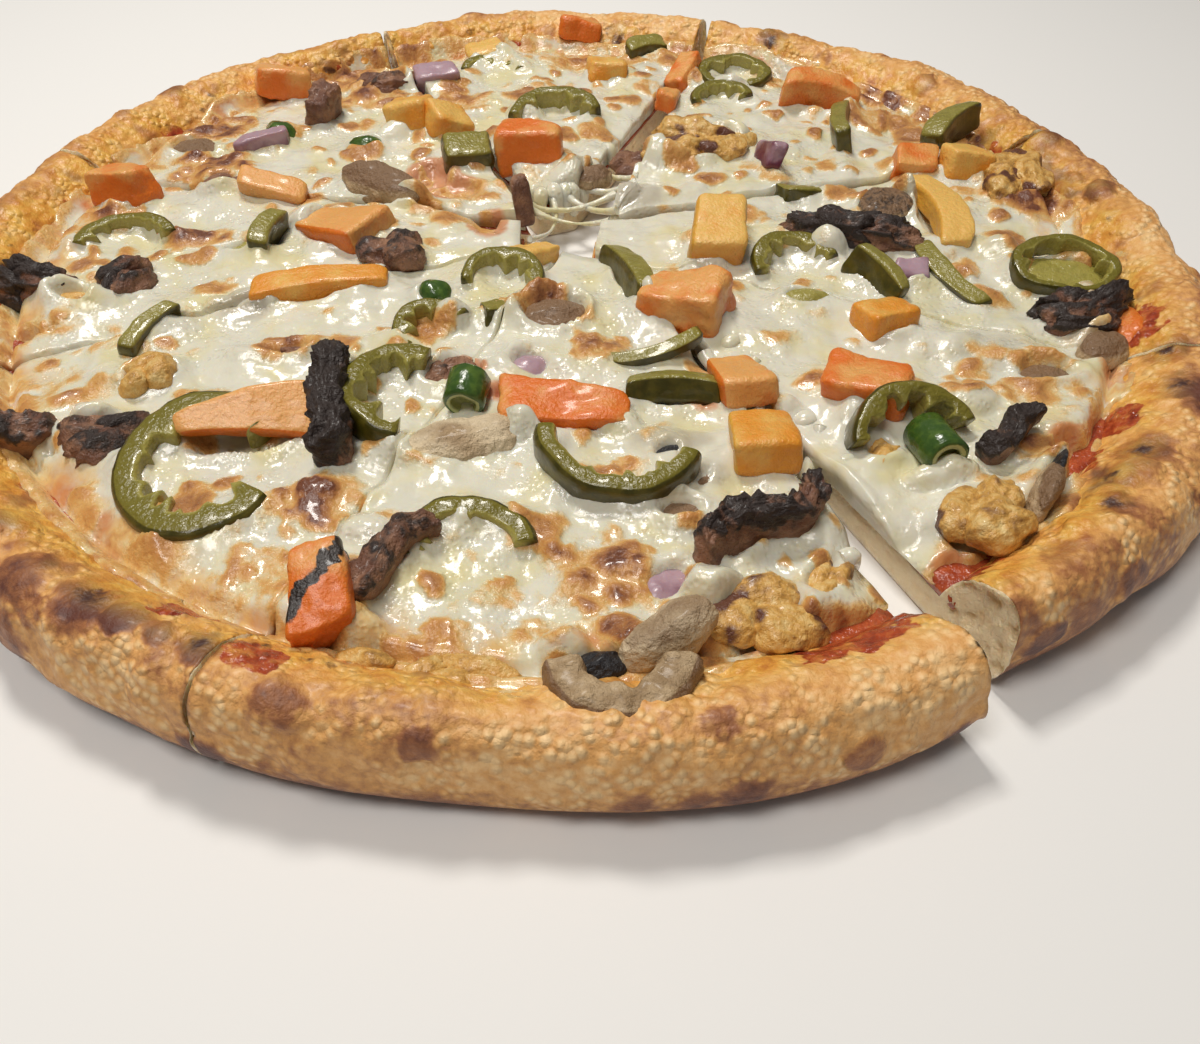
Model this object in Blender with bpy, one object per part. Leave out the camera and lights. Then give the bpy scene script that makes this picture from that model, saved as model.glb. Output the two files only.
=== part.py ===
"""A pan pizza of 30 cm, cut by hand into eight slices that still lie together.

Metres, +Z up. The underside lies on z = 0 and the middle of the pizza on x = y = 0.
Sizes and places below are written in millimetres and scaled by MM where a mesh is made.
Every slice has its dough, its sauce and its cheese as solids of their own. The larger
toppings are solids too, bedded in the cheese, and the smaller ones are fused to it.
"""

import math

import bmesh
import bpy
from mathutils import Matrix, Vector, noise

MM = 0.001

# Driving dimensions, in millimetres
BASE_THICKNESS = 7.0
SAUCE_THICKNESS = 1.3
RIM_HEIGHT = 20.0
RIM_FOOT_RADIUS = 130.0
SAUCE_RADIUS = 129.2
CHEESE_RADIUS = 127.5
CHEESE_TOP = 12.9
LAYER_GAP = 0.3
BED_GAP = 0.45
SECTION_SPAN = 100.0
RIM_STEPS = 112
CHEESE_ACROSS = 8
CHEESE_ALONG = 12

SAUCE_BOTTOM = BASE_THICKNESS + LAYER_GAP
SAUCE_TOP = SAUCE_BOTTOM + SAUCE_THICKNESS
CHEESE_BOTTOM = SAUCE_TOP + LAYER_GAP
BED = CHEESE_BOTTOM + 0.8

# How far the rim reaches from the middle, by polar angle in degrees
RIM_REACH = (
    (-180, 150.0), (-160, 151.0), (-132, 153.0), (-111, 152.0), (-98, 151.0), (-75, 154.0),
    (-64, 153.0), (-61, 148.0), (-50, 151.0), (-42, 155.0), (-33, 156.0), (-11, 152.5),
    (3, 153.5), (22, 152.0), (37, 156.0), (50, 151.0), (67, 149.0), (78, 152.0),
    (89, 155.0), (102, 150.0), (114, 145.0), (124, 143.5), (136, 150.0), (163, 148.5),
    (180, 150.0),
)

# The rim's section: share of the reach beyond the foot, and height
RIM_SECTION = (
    (0.000, BASE_THICKNESS), (0.055, 10.2), (0.170, 13.8), (0.330, 17.2), (0.520, 19.6),
    (0.700, RIM_HEIGHT), (0.850, 18.2), (0.950, 14.4), (1.000, 9.0), (0.975, 4.2),
    (0.890, 1.0), (0.760, 0.0),
)

# Dark blisters on the crust: place, radius and height
BLISTERS = (
    (-70, -129, 9, 2.2), (-54, -141, 8, 1.6), (103, -112, 8, 1.6), (80, -125, 9, 1.8),
    (30, -146, 8, 1.4), (-6, -150, 9, 1.2), (118, -96, 8, 1.6), (-112, -92, 9, 1.5),
    (140, 14, 9, 2.0), (135, 42, 10, 2.4), (58, 134, 9, 1.8), (-30, 143, 9, 1.6),
    (-118, 82, 9, 1.8), (-146, -22, 9, 1.6), (112, 84, 9, 1.8), (141, -40, 8, 1.6),
)

# Slices: name, start edge's point and direction, end edge's point and direction
SLICES = (
    ("right_front", (21.5, -9.0), -67.0, (21.5, -9.0), -23.0),
    ("right", (6.0, -2.0), -22.8, (8.0, 12.0), 14.0),
    ("upper_right", (12.0, 17.0), 13.3, (12.0, 17.0), 71.0),
    ("top", (3.0, 31.0), 66.0, (-7.0, 27.0), 117.0),
    ("upper_left", (-11.0, 22.0), 115.3, (-9.0, 16.0), 168.0),
    ("left", (-10.0, 12.5), 167.0, (-10.0, 2.0), 201.5),
    ("left_front", (-7.0, 1.8), 201.7, (-1.5, -2.5), 247.0),
    ("front", (0.0, -1.0), 247.0, (1.0, -1.0), 295.0),
)

# Where the melted cheese hangs past the dough's edge into the wide cut
CHEESE_START = {"right_front": ((14.5, -8.5), -65.0)}
CHEESE_END = {"front": ((12.0, -7.5), 292.0)}

# Finishes: colour and roughness
FINISHES = {
    "crust": ((0.72, 0.45, 0.20), 0.55),
    "sauce": ((0.52, 0.07, 0.02), 0.35),
    "cheese": ((0.86, 0.80, 0.62), 0.30),
    "jalapeno": ((0.13, 0.15, 0.02), 0.25),
    "green_chilli": ((0.10, 0.30, 0.04), 0.30),
    "tomato": ((0.80, 0.20, 0.05), 0.30),
    "sweet_pepper": ((0.85, 0.48, 0.10), 0.30),
    "mushroom": ((0.36, 0.27, 0.19), 0.45),
    "roast_meat": ((0.16, 0.07, 0.04), 0.50),
    "chicken": ((0.62, 0.36, 0.12), 0.45),
}


def clear_scene():
    """Remove what the scene starts with."""
    for obj in list(bpy.data.objects):
        bpy.data.objects.remove(obj, do_unlink=True)


def finish_material(finish):
    """A Principled material, shared by all pieces of one finish."""
    known = bpy.data.materials.get(finish)
    if known:
        return known
    colour, roughness = FINISHES[finish]
    material = bpy.data.materials.new(finish)
    material.use_nodes = True
    shader = material.node_tree.nodes["Principled BSDF"]
    shader.inputs["Base Color"].default_value = (*colour, 1.0)
    shader.inputs["Roughness"].default_value = roughness
    shader.inputs["Metallic"].default_value = 0.0
    return material


def make_object(name, bm, finish):
    """Turn a closed bmesh in millimetres into a named object in metres."""
    bmesh.ops.recalc_face_normals(bm, faces=bm.faces)
    bmesh.ops.scale(bm, vec=(MM, MM, MM), verts=bm.verts)
    mesh = bpy.data.meshes.new(name)
    bm.to_mesh(mesh)
    bm.free()
    obj = bpy.data.objects.new(name, mesh)
    obj.data.materials.append(finish_material(finish))
    bpy.context.scene.collection.objects.link(obj)
    return obj


def heading(degrees):
    """The unit vector in the plane at a polar angle."""
    angle = math.radians(degrees)
    return Vector((math.cos(angle), math.sin(angle), 0.0))


def between(low, high, share):
    """Linear interpolation."""
    return low + (high - low) * share


def reach_at(angle):
    """The rim's outer radius at a polar angle in degrees."""
    turned = (angle + 180.0) % 360.0 - 180.0
    for (a0, r0), (a1, r1) in zip(RIM_REACH, RIM_REACH[1:]):
        if a0 <= turned <= a1:
            return between(r0, r1, 0.5 - 0.5 * math.cos(math.pi * (turned - a0) / (a1 - a0)))
    return RIM_REACH[0][1]


def wave(x, y, size, seed):
    """Smooth noise of about -1 to 1 whose humps are as wide as size."""
    return noise.noise(Vector((x / size, y / size, seed)))


def crust_relief(bm):
    """Draw the spun rim in to its uneven reach and raise its humps and blisters."""
    for vert in bm.verts:
        radius = math.hypot(vert.co.x, vert.co.y)
        angle = math.degrees(math.atan2(vert.co.y, vert.co.x))
        share = (radius - RIM_FOOT_RADIUS) / SECTION_SPAN
        drawn = between(RIM_FOOT_RADIUS, reach_at(angle), share)
        vert.co.x *= drawn / radius
        vert.co.y *= drawn / radius
        x, y, z = vert.co
        lift = 1.3 * wave(x, y, 12.0, 3.0) + 0.9 * wave(x, y, 28.0, 8.0)
        for spot_x, spot_y, size, height in BLISTERS:
            away = math.hypot(x - spot_x, y - spot_y) / size
            lift += height * max(0.0, 1.0 - away * away)
        push = Vector((x, y, 0.0)).normalized() * 0.35 + Vector((0.0, 0.0, 1.0))
        rise = (z - BASE_THICKNESS) / (RIM_HEIGHT - BASE_THICKNESS)
        vert.co += push * lift * min(1.0, max(0.0, rise))


def dough_disc():
    """The whole crust before it is cut: floor, raised rim and flat underside."""
    bm = bmesh.new()
    verts = []
    for share, height in RIM_SECTION:
        verts.append(bm.verts.new((RIM_FOOT_RADIUS + share * SECTION_SPAN, 0.0, height)))
    edges = [bm.edges.new(pair) for pair in zip(verts, verts[1:])]
    bmesh.ops.spin(
        bm, geom=verts + edges, cent=(0, 0, 0), axis=(0, 0, 1),
        angle=2.0 * math.pi, steps=RIM_STEPS, use_merge=True,
    )
    bmesh.ops.remove_doubles(bm, verts=bm.verts, dist=0.01)
    crust_relief(bm)
    bmesh.ops.holes_fill(bm, edges=bm.edges, sides=0)
    bmesh.ops.recalc_face_normals(bm, faces=bm.faces)
    return bm


def cut_away(bm, point, normal):
    """Cut a closed bmesh with a plane, drop what the normal points to and close the cut."""
    result = bmesh.ops.bisect_plane(
        bm, geom=bm.verts[:] + bm.edges[:] + bm.faces[:], dist=0.001,
        plane_co=point, plane_no=normal, clear_outer=True,
    )
    rim = [item for item in result["geom_cut"] if isinstance(item, bmesh.types.BMEdge)]
    bmesh.ops.contextual_create(bm, geom=rim)


def cut_to_wedge(bm, slice_row, inset):
    """Keep the part of a disc that lies between a slice's two edges and beyond its tip."""
    _, start, start_angle, end, end_angle = slice_row
    start_out = heading(start_angle - 90.0)
    end_out = heading(end_angle + 90.0)
    cut_away(bm, Vector((*start, 0.0)) - start_out * inset, start_out)
    cut_away(bm, Vector((*end, 0.0)) - end_out * inset, end_out)
    tip = Vector((end[0] - start[0], end[1] - start[1], 0.0))
    if tip.length > 4.0:
        inward = -heading(0.5 * (start_angle + end_angle))
        across = tip.cross(Vector((0.0, 0.0, 1.0))).normalized()
        if across.dot(inward) < 0.0:
            across.negate()
        cut_away(bm, Vector((*start, 0.0)) - across * inset, across)


def make_dough(slice_row):
    """One slice's crust, cut from the baked disc."""
    bm = dough_disc()
    cut_to_wedge(bm, slice_row, 0.0)
    return make_object("dough_" + slice_row[0], bm, "crust")


def make_sauce(slice_row):
    """One slice's sauce: a thin layer on the crust's floor with an uneven outer edge."""
    bm = bmesh.new()
    bmesh.ops.create_circle(bm, cap_ends=True, radius=SAUCE_RADIUS - 1.0, segments=64)
    for vert in bm.verts:
        swing = 1.0 * wave(vert.co.x, vert.co.y, 24.0, 5.0)
        vert.co *= (vert.co.length + swing) / vert.co.length
        vert.co.z = SAUCE_BOTTOM
    layer = bmesh.ops.extrude_face_region(bm, geom=bm.faces[:])
    top = [item for item in layer["geom"] if isinstance(item, bmesh.types.BMVert)]
    bmesh.ops.translate(bm, vec=(0.0, 0.0, SAUCE_THICKNESS), verts=top)
    bmesh.ops.recalc_face_normals(bm, faces=bm.faces)
    cut_to_wedge(bm, slice_row, 0.5)
    return make_object("sauce_" + slice_row[0], bm, "sauce")


def ray_to_circle(point, direction, radius):
    """The distance from a point inside a circle round the middle to it, along a direction."""
    along = point.dot(direction)
    return -along + math.sqrt(along * along + radius * radius - point.length_squared)


def cheese_height(x, y, side, outer):
    """The cheese's top: humps, lower along the cuts (side) and at the outer edge (outer)."""
    hump = 1.1 * wave(x, y, 17.0, 1.0) + 1.0 * wave(x, y, 8.0, 2.0)
    droop = 1.3 * (1.0 - min(1.0, side * 9.0)) + 1.6 * max(0.0, outer * 9.0 - 8.0)
    return max(CHEESE_BOTTOM + 1.4, CHEESE_TOP + hump - droop)


def make_cheese(slice_row):
    """One slice's cheese: a humped top on a grid between its edges, over a flat underside."""
    name, start, start_angle, end, end_angle = slice_row
    start, start_angle = CHEESE_START.get(name, (start, start_angle))
    end, end_angle = CHEESE_END.get(name, (end, end_angle))
    first = Vector((*start, 0.0)) - heading(start_angle - 90.0) * 0.4
    last = Vector((*end, 0.0)) - heading(end_angle + 90.0) * 0.4
    inward = heading(0.5 * (start_angle + end_angle))
    if (last - first).length < 4.0:
        first += inward * 3.0 + heading(start_angle - 90.0) * 1.0
        last += inward * 3.0 + heading(end_angle + 90.0) * 1.0
    else:
        first += inward * 0.5
        last += inward * 0.5
    bm = bmesh.new()
    bmesh.ops.create_grid(bm, x_segments=CHEESE_ACROSS, y_segments=CHEESE_ALONG, size=0.5)
    for vert in bm.verts:
        across = vert.co.x + 0.5
        along = (vert.co.y + 0.5) ** 0.85
        root = first.lerp(last, across)
        way = heading(between(start_angle, end_angle, across))
        angle = math.degrees(math.atan2(root.y + 125.0 * way.y, root.x + 125.0 * way.x))
        edge = CHEESE_RADIUS - 2.5 + 2.2 * wave(angle, 0.0, 9.0, 4.0)
        spot = root + way * ray_to_circle(root, way, edge) * along
        side = min(across, 1.0 - across)
        vert.co = (spot.x, spot.y, cheese_height(spot.x, spot.y, side, along))
    border = [edge for edge in bm.edges if edge.is_boundary]
    skirt = bmesh.ops.extrude_edge_only(bm, edges=border)["geom"]
    for item in skirt:
        if isinstance(item, bmesh.types.BMVert):
            item.co.z = CHEESE_BOTTOM
    bottom = [item for item in skirt if isinstance(item, bmesh.types.BMEdge)]
    bmesh.ops.contextual_create(bm, geom=[edge for edge in bottom if edge.is_boundary])
    return make_object("cheese_" + name, bm, "cheese")


def jalapeno(reach=12.0, sweep=(0, 360), wall=3.6, height=5.0, squeeze=1.0):
    """A pickled jalapeno slice: a ring, or an arc of one, with a bulging skin side."""
    bm = bmesh.new()
    section = (
        (reach - wall, 0.4), (reach - 0.9, 0.0), (reach, 0.5 * height),
        (reach - 0.9, height), (reach - wall, height - 0.4),
    )
    verts = [bm.verts.new((radius, 0.0, level)) for radius, level in section]
    edges = [bm.edges.new((verts[k - 1], verts[k])) for k in range(len(verts))]
    turn = sweep[1] - sweep[0]
    whole = turn >= 360
    bmesh.ops.rotate(bm, verts=verts, matrix=Matrix.Rotation(math.radians(sweep[0]), 3, "Z"))
    bmesh.ops.spin(
        bm, geom=verts + edges, cent=(0, 0, 0), axis=(0, 0, 1),
        angle=math.radians(turn), steps=max(4, round(turn / 30)), use_merge=whole,
    )
    if whole:
        bmesh.ops.remove_doubles(bm, verts=bm.verts, dist=0.01)
    else:
        bmesh.ops.holes_fill(bm, edges=bm.edges, sides=0)
    bmesh.ops.scale(bm, vec=(1.0, squeeze, 1.0), verts=bm.verts)
    return bm


def block(length=14.0, width=12.0, height=9.0, taper=1.0, rounding=1.6):
    """A diced piece of tomato, pepper or onion with softened edges; taper narrows +X."""
    bm = bmesh.new()
    bmesh.ops.create_cube(bm, size=1.0)
    bmesh.ops.translate(bm, vec=(0.0, 0.0, 0.5), verts=bm.verts)
    bmesh.ops.scale(bm, vec=(length, width, height), verts=bm.verts)
    for vert in bm.verts:
        if vert.co.x > 0.0:
            vert.co.y *= taper
            vert.co.z *= between(1.0, taper, 0.5)
    bmesh.ops.bevel(
        bm, geom=bm.edges[:], offset=rounding, offset_type="OFFSET", segments=1,
        profile=0.5, affect="EDGES", material=-1, clamp_overlap=True,
    )
    return bm


def strip(length=28.0, width=8.0, height=6.0, bend=3.0, taper=1.0):
    """A cut strip that bends sideways along its length."""
    bm = bmesh.new()
    bmesh.ops.create_cube(bm, size=1.0)
    bmesh.ops.translate(bm, vec=(0.0, 0.0, 0.5), verts=bm.verts)
    long_edges = [
        edge for edge in bm.edges if abs(edge.verts[0].co.x - edge.verts[1].co.x) > 0.5
    ]
    bmesh.ops.subdivide_edges(bm, edges=long_edges, cuts=4, use_grid_fill=True)
    bmesh.ops.scale(bm, vec=(length, width, height), verts=bm.verts)
    for vert in bm.verts:
        along = 2.0 * vert.co.x / length
        vert.co.y *= between(1.0, taper, 0.5 + 0.5 * along)
        crown = 1.0 - 0.25 * along * along
        vert.co.z *= crown
        vert.co.y += bend * (1.0 - along * along)
    return bm


def lump(length=14.0, width=11.0, height=9.0, rough=0.18, seed=1.0):
    """A torn chunk of meat, chicken or browned cheese."""
    bm = bmesh.new()
    bmesh.ops.create_icosphere(bm, subdivisions=2, radius=0.5)
    for vert in bm.verts:
        way = vert.co.normalized()
        bump = noise.noise(way * 1.9 + Vector((seed, 2.0 * seed, 0.0)))
        vert.co = way * 0.5 * (1.0 + 2.0 * rough * bump)
        vert.co.z = max(vert.co.z, -0.36)
    bmesh.ops.translate(bm, vec=(0.0, 0.0, 0.36), verts=bm.verts)
    bmesh.ops.scale(bm, vec=(length, width, height * 1.15), verts=bm.verts)
    return bm


def mushroom(width=22.0, depth=16.0, thickness=5.0, stem=7.0, curl=1.5):
    """A slice through a mushroom: a domed cap (towards -Y) on a short stem."""
    bm = bmesh.new()
    outline = []
    for step in range(9):
        angle = math.pi + step * math.pi / 8.0
        outline.append((0.5 * width * math.cos(angle), 0.62 * depth * math.sin(angle)))
    outline.append((0.5 * stem, 0.06 * depth))
    outline.append((0.42 * stem, 0.38 * depth))
    outline.append((-0.42 * stem, 0.38 * depth))
    outline.append((-0.5 * stem, 0.06 * depth))
    face = bm.faces.new([bm.verts.new((x, y, 0.0)) for x, y in outline])
    layer = bmesh.ops.extrude_face_region(bm, geom=[face])
    top = [item for item in layer["geom"] if isinstance(item, bmesh.types.BMVert)]
    bmesh.ops.translate(bm, vec=(0.0, 0.0, thickness), verts=top)
    for vert in bm.verts:
        vert.co.z += curl * (2.0 * vert.co.x / width) ** 2
    return bm


def tube(radius=4.4, length=9.0):
    """A short length of green chilli, lying along X, with softened ends."""
    bm = bmesh.new()
    bmesh.ops.create_cone(
        bm, cap_ends=True, segments=10, radius1=radius, radius2=radius, depth=length,
    )
    ends = [edge for edge in bm.edges if abs(edge.verts[0].co.z - edge.verts[1].co.z) < 0.01]
    bmesh.ops.bevel(
        bm, geom=ends, offset=1.0, offset_type="OFFSET", segments=1,
        profile=0.5, affect="EDGES", material=-1,
    )
    bmesh.ops.rotate(bm, verts=bm.verts, matrix=Matrix.Rotation(math.radians(90.0), 3, "Y"))
    bmesh.ops.translate(bm, vec=(0.0, 0.0, radius), verts=bm.verts)
    return bm


# Toppings of their own: name, finish, place (x, y, lowest z), turn about Z, tilt about
# X and then Y before the turn, and the bmesh that makes the shape
NODE_TOPPINGS = (
    ("jalapeno_left_front", "jalapeno", (-70, -82, BED), 0, 6, 0,
     lambda: jalapeno(16.5, (40, 330), 4.6, 6.0, 1.16)),
    ("tomato_left_front", "tomato", (-63, -71, 14.0), 12, -12, 4,
     lambda: strip(28, 12, 6, 1.0, 0.55)),
    ("charred_left_front", "roast_meat", (-48, -66, BED), 92, 0, 0,
     lambda: strip(32, 9, 15, 1.5, 0.8)),
    ("meat_left_front", "roast_meat", (-93, -72, BED), 20, 0, 0,
     lambda: lump(15, 13, 10, 0.22, 4.0)),
    ("jalapeno_middle_front", "jalapeno", (-34, -63, BED), 0, 0, 10,
     lambda: jalapeno(14, (75, 265), 4.0, 8.0, 1.1)),
    ("tomato_front_left", "tomato", (-42, -117, BED), 100, 0, -18,
     lambda: block(17, 12, 11, 0.75, 2.2)),
    ("meat_front_left", "roast_meat", (-33, -108, BED), 35, 10, 0,
     lambda: strip(23, 8, 10, 2.5, 0.7)),
    ("chilli_middle", "green_chilli", (-21, -62, 11.2), 80, 0, 0,
     lambda: tube(4.6, 9.0)),
    ("mushroom_middle", "mushroom", (-20, -75, 11.0), 15, 12, 0,
     lambda: strip(24, 9, 5, 1.2, 0.7)),
    ("tomato_middle", "tomato", (-1, -67, BED), -10, -16, 0,
     lambda: block(27, 14, 9, 0.75, 3.0)),
    ("jalapeno_arched", "jalapeno", (22, -62, 10.2), -2, -28, 0,
     lambda: strip(20, 9, 5, 2.0, 0.9)),
    ("jalapeno_big_front", "jalapeno", (10, -78, BED), 0, 8, 0,
     lambda: jalapeno(17, (178, 332), 5.0, 8.0, 1.0)),
    ("tomato_block_upper", "tomato", (36, -59, 10.4), 100, 0, 14,
     lambda: block(16, 12, 9, 0.8, 1.6)),
    ("tomato_block_lower", "sweet_pepper", (38, -79, 10.4), 88, 0, 10,
     lambda: block(15, 14, 10, 0.9, 1.6)),
    ("jalapeno_front_arch", "jalapeno", (-19, -105, BED), 0, 10, 0,
     lambda: jalapeno(13, (10, 185), 4.4, 6.0, 0.95)),
    ("charred_front", "roast_meat", (34, -103, BED), 38, 0, 0,
     lambda: strip(27, 9, 13, -2.5, 0.8)),
    ("chicken_front", "chicken", (31, -121, BED), 10, 0, 0,
     lambda: lump(17, 14, 10, 0.2, 7.0)),
    ("mushroom_front", "mushroom", (7, -132, 10.2), 12, 20, 0,
     lambda: mushroom(26, 17, 6.5, 8, 1.0)),
    ("tomato_right_front", "tomato", (62, -63, BED), -35, 0, -10,
     lambda: block(18, 14, 10, 0.85, 2.0)),
    ("jalapeno_right_front", "jalapeno", (67, -76, BED), 8, 34, 0,
     lambda: jalapeno(13, (10, 180), 4.4, 7.5, 0.9)),
    ("chilli_right_front", "green_chilli", (72, -82, 11.0), -80, 0, -8,
     lambda: tube(4.6, 11.0)),
    ("charred_right_front", "roast_meat", (86, -80, 12.5), 30, 0, -14,
     lambda: strip(16, 6, 6, 0.8, 0.8)),
    ("chicken_right_front", "chicken", (76, -100, BED), 35, 0, 0,
     lambda: lump(18, 14, 12, 0.24, 9.0)),
    ("mushroom_right_front", "mushroom", (89, -94, BED), 60, 32, 0,
     lambda: mushroom(17, 13, 4, 6, 1.0)),
    ("jalapeno_right", "jalapeno", (119, -19, 10.6), 0, 12, 0,
     lambda: jalapeno(13.5, (0, 360), 4.2, 5.5, 0.72)),
    ("charred_right", "roast_meat", (117, -37, BED), 10, 0, 0,
     lambda: lump(20, 12, 12, 0.26, 3.0)),
    ("meat_right", "roast_meat", (74, -1, BED), -8, 0, 0,
     lambda: lump(27, 13, 13, 0.28, 5.0)),
    ("pepper_right", "sweet_pepper", (95, 9, 12.5), 94, 0, 0,
     lambda: strip(35, 9, 6, -2.5, 0.8)),
    ("pepper_centre", "sweet_pepper", (38, -3, 10.2), 82, 0, -14,
     lambda: block(19, 14, 12, 0.85, 2.4)),
    ("tomato_centre", "tomato", (27, -31, BED), -22, 0, -8,
     lambda: block(19, 13, 10, 1.2, 2.6)),
    ("browned_upper_right", "chicken", (39, 52, BED), 12, 0, 0,
     lambda: lump(30, 19, 12, 0.22, 6.0)),
    ("tomato_top", "tomato", (-9, 47, BED), -14, 0, -8,
     lambda: block(18, 13, 13, 0.7, 2.6)),
    ("tomato_left", "tomato", (-57, 8, BED), -28, 0, -10,
     lambda: block(22, 18, 8, 0.75, 2.2)),
    ("mushroom_left", "mushroom", (-50, 31, BED), -35, 0, 0,
     lambda: lump(27, 13, 12, 0.12, 2.0)),
    ("pepper_left", "sweet_pepper", (-58, -19, BED), 10, 0, 0,
     lambda: strip(32, 9, 8, 1.0, 0.8)),
    ("charred_left", "roast_meat", (-118, -17, BED), 0, 0, 0,
     lambda: lump(34, 12, 11, 0.3, 8.0)),
)

# Smaller toppings, fused to the cheese of the slice that they lie on
FUSED_TOPPINGS = (
    ("left_front", (-110, -71, BED), 10, 0, 0, lambda: strip(15, 7, 8, 1.0, 0.8)),
    ("left_front", (-89, -52, BED), 60, 0, 0, lambda: lump(12, 10, 9, 0.2, 11.0)),
    ("left_front", (-93, -36, BED), 65, 0, 0, lambda: strip(17, 5, 7, 1.0, 0.8)),
    ("left_front", (-16, -31, BED), 30, 0, 0, lambda: block(8, 7, 6, 0.9, 1.2)),
    ("left_front", (-15, -17, BED), 0, 8, 0, lambda: jalapeno(10, (-30, 190), 3.4, 6.0)),
    ("left_front", (-31, -22, 11.0), 0, 0, 0, lambda: lump(8, 8, 7, 0.05, 1.0)),
    ("front", (-3, -32, BED), 12, 0, 0, lambda: lump(21, 15, 10, 0.16, 12.0)),
    ("front", (14, -18, BED), -72, 0, 0, lambda: strip(26, 6, 8, 1.5, 0.8)),
    ("front", (19, -47, 11.0), 14, 0, 0, lambda: strip(21, 4, 5, -2.5, 0.8)),
    ("front", (20, -96, BED), 0, 0, 0, lambda: lump(12, 9, 8, 0.1, 13.0)),
    ("front", (17, -113, BED), 0, 0, 0, lambda: block(9, 8, 6, 0.9, 1.2)),
    ("right_front", (72, -37, BED), 20, 0, 0, lambda: block(13, 11, 8, 0.85, 1.8)),
    ("right_front", (103, -56, BED), 0, 0, 0, lambda: lump(16, 12, 6, 0.1, 14.0)),
    ("right", (56, -12, BED), 0, 10, 0, lambda: jalapeno(11, (10, 200), 3.6, 6.0)),
    ("right", (56, -26, BED), 0, 0, 0, lambda: lump(12, 8, 6, 0.15, 15.0)),
    ("right", (73, -22, BED), -60, 0, 0, lambda: strip(15, 5, 9, 1.0, 0.8)),
    ("right", (85, -20, BED), 0, 0, 0, lambda: block(9, 8, 7, 0.9, 1.2)),
    ("right", (82, 12, BED), 20, 0, 0, lambda: lump(15, 13, 9, 0.1, 16.0)),
    ("upper_right", (80, 80, BED), -6, 0, 0, lambda: strip(24, 9, 10, 2.5, 0.7)),
    ("upper_right", (83, 60, BED), 78, 0, 0, lambda: strip(26, 6, 9, 1.5, 0.8)),
    ("upper_right", (56, 102, BED), 0, 10, 0, lambda: jalapeno(12, (0, 360), 3.8, 5.5, 0.8)),
    ("upper_right", (50, 84, BED), 0, 10, 0, lambda: jalapeno(10, (10, 190), 3.6, 6.0)),
    ("upper_right", (58, 42, 10.5), 70, 0, 0, lambda: strip(14, 4, 7, 0.5, 0.8)),
    ("upper_right", (112, 52, BED), 40, 0, 0, lambda: strip(19, 12, 9, 2.0, 0.8)),
    ("upper_right", (98, 38, BED), 0, 0, 0, lambda: block(12, 10, 8, 0.9, 1.6)),
    ("upper_right", (112, 36, BED), 0, 0, 0, lambda: block(13, 9, 9, 0.9, 1.6)),
    ("top", (-2, 72, BED), 0, 12, 0, lambda: jalapeno(14, (10, 180), 4.0, 6.5)),
    ("top", (15, 106, BED), 0, 0, 0, lambda: block(12, 10, 7, 0.85, 1.6)),
    ("top", (-22, 110, BED), 0, 10, 0, lambda: jalapeno(11, (10, 170), 3.4, 5.0)),
    ("upper_left", (-45, 70, BED), -15, 0, 0, lambda: block(13, 11, 9, 0.85, 1.6)),
    ("upper_left", (-27, 47, BED), 10, 0, 0, lambda: block(13, 11, 8, 0.85, 1.6)),
    ("upper_left", (-87, 95, BED), 12, 0, 0, lambda: block(16, 12, 9, 0.7, 1.8)),
    ("upper_left", (-72, 75, BED), 80, 0, 0, lambda: strip(13, 8, 14, 0.8, 0.8)),
    ("upper_left", (-83, 64, BED), 0, 0, 0, lambda: lump(10, 10, 9, 0.08, 17.0)),
    ("left", (-78, 29, BED), -8, 0, 0, lambda: strip(18, 7, 7, 1.0, 0.8)),
    ("left", (-116, 27, BED), -20, 0, 0, lambda: block(14, 12, 12, 0.8, 2.0)),
    ("left", (-76, 3, BED), 78, 0, 0, lambda: strip(15, 6, 9, 1.5, 0.8)),
    ("left", (-110, 4, BED), 0, 10, 0, lambda: jalapeno(13, (20, 190), 4.0, 6.0, 0.8)),
    ("left", (-42, -5, BED), 20, 0, 0, lambda: lump(15, 13, 11, 0.22, 18.0)),
)


def place(bm, spot, turn, tilt_x, tilt_y):
    """Tilt and turn a shape about its middle, then set its lowest point on the spot."""
    matrix = Matrix.Rotation(math.radians(turn), 3, "Z")
    matrix = matrix @ Matrix.Rotation(math.radians(tilt_y), 3, "Y")
    matrix = matrix @ Matrix.Rotation(math.radians(tilt_x), 3, "X")
    bmesh.ops.rotate(bm, verts=bm.verts, matrix=matrix)
    lowest = min(vert.co.z for vert in bm.verts)
    bmesh.ops.translate(bm, vec=(spot[0], spot[1], spot[2] - lowest), verts=bm.verts)
    return bm


def grown(obj, amount):
    """A cutter: a copy of an object whose faces stand out by an amount in millimetres."""
    bm = bmesh.new()
    bm.from_mesh(obj.data)
    bm.normal_update()
    moves = {vert: vert.normal * amount * MM * min(vert.calc_shell_factor(), 1.8)
             for vert in bm.verts}
    for vert, move in moves.items():
        vert.co += move
    mesh = bpy.data.meshes.new(obj.name + "_bed")
    bm.to_mesh(mesh)
    bm.free()
    return bpy.data.objects.new(obj.name + "_bed", mesh)


def boxes_meet(one, other, margin):
    """Whether two objects' boxes come within a margin in millimetres."""
    for axis in range(3):
        one_low = min(corner[axis] for corner in one.bound_box) - margin * MM
        one_high = max(corner[axis] for corner in one.bound_box) + margin * MM
        other_low = min(corner[axis] for corner in other.bound_box)
        other_high = max(corner[axis] for corner in other.bound_box)
        if one_low > other_high or other_low > one_high:
            return False
    return True


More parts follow.
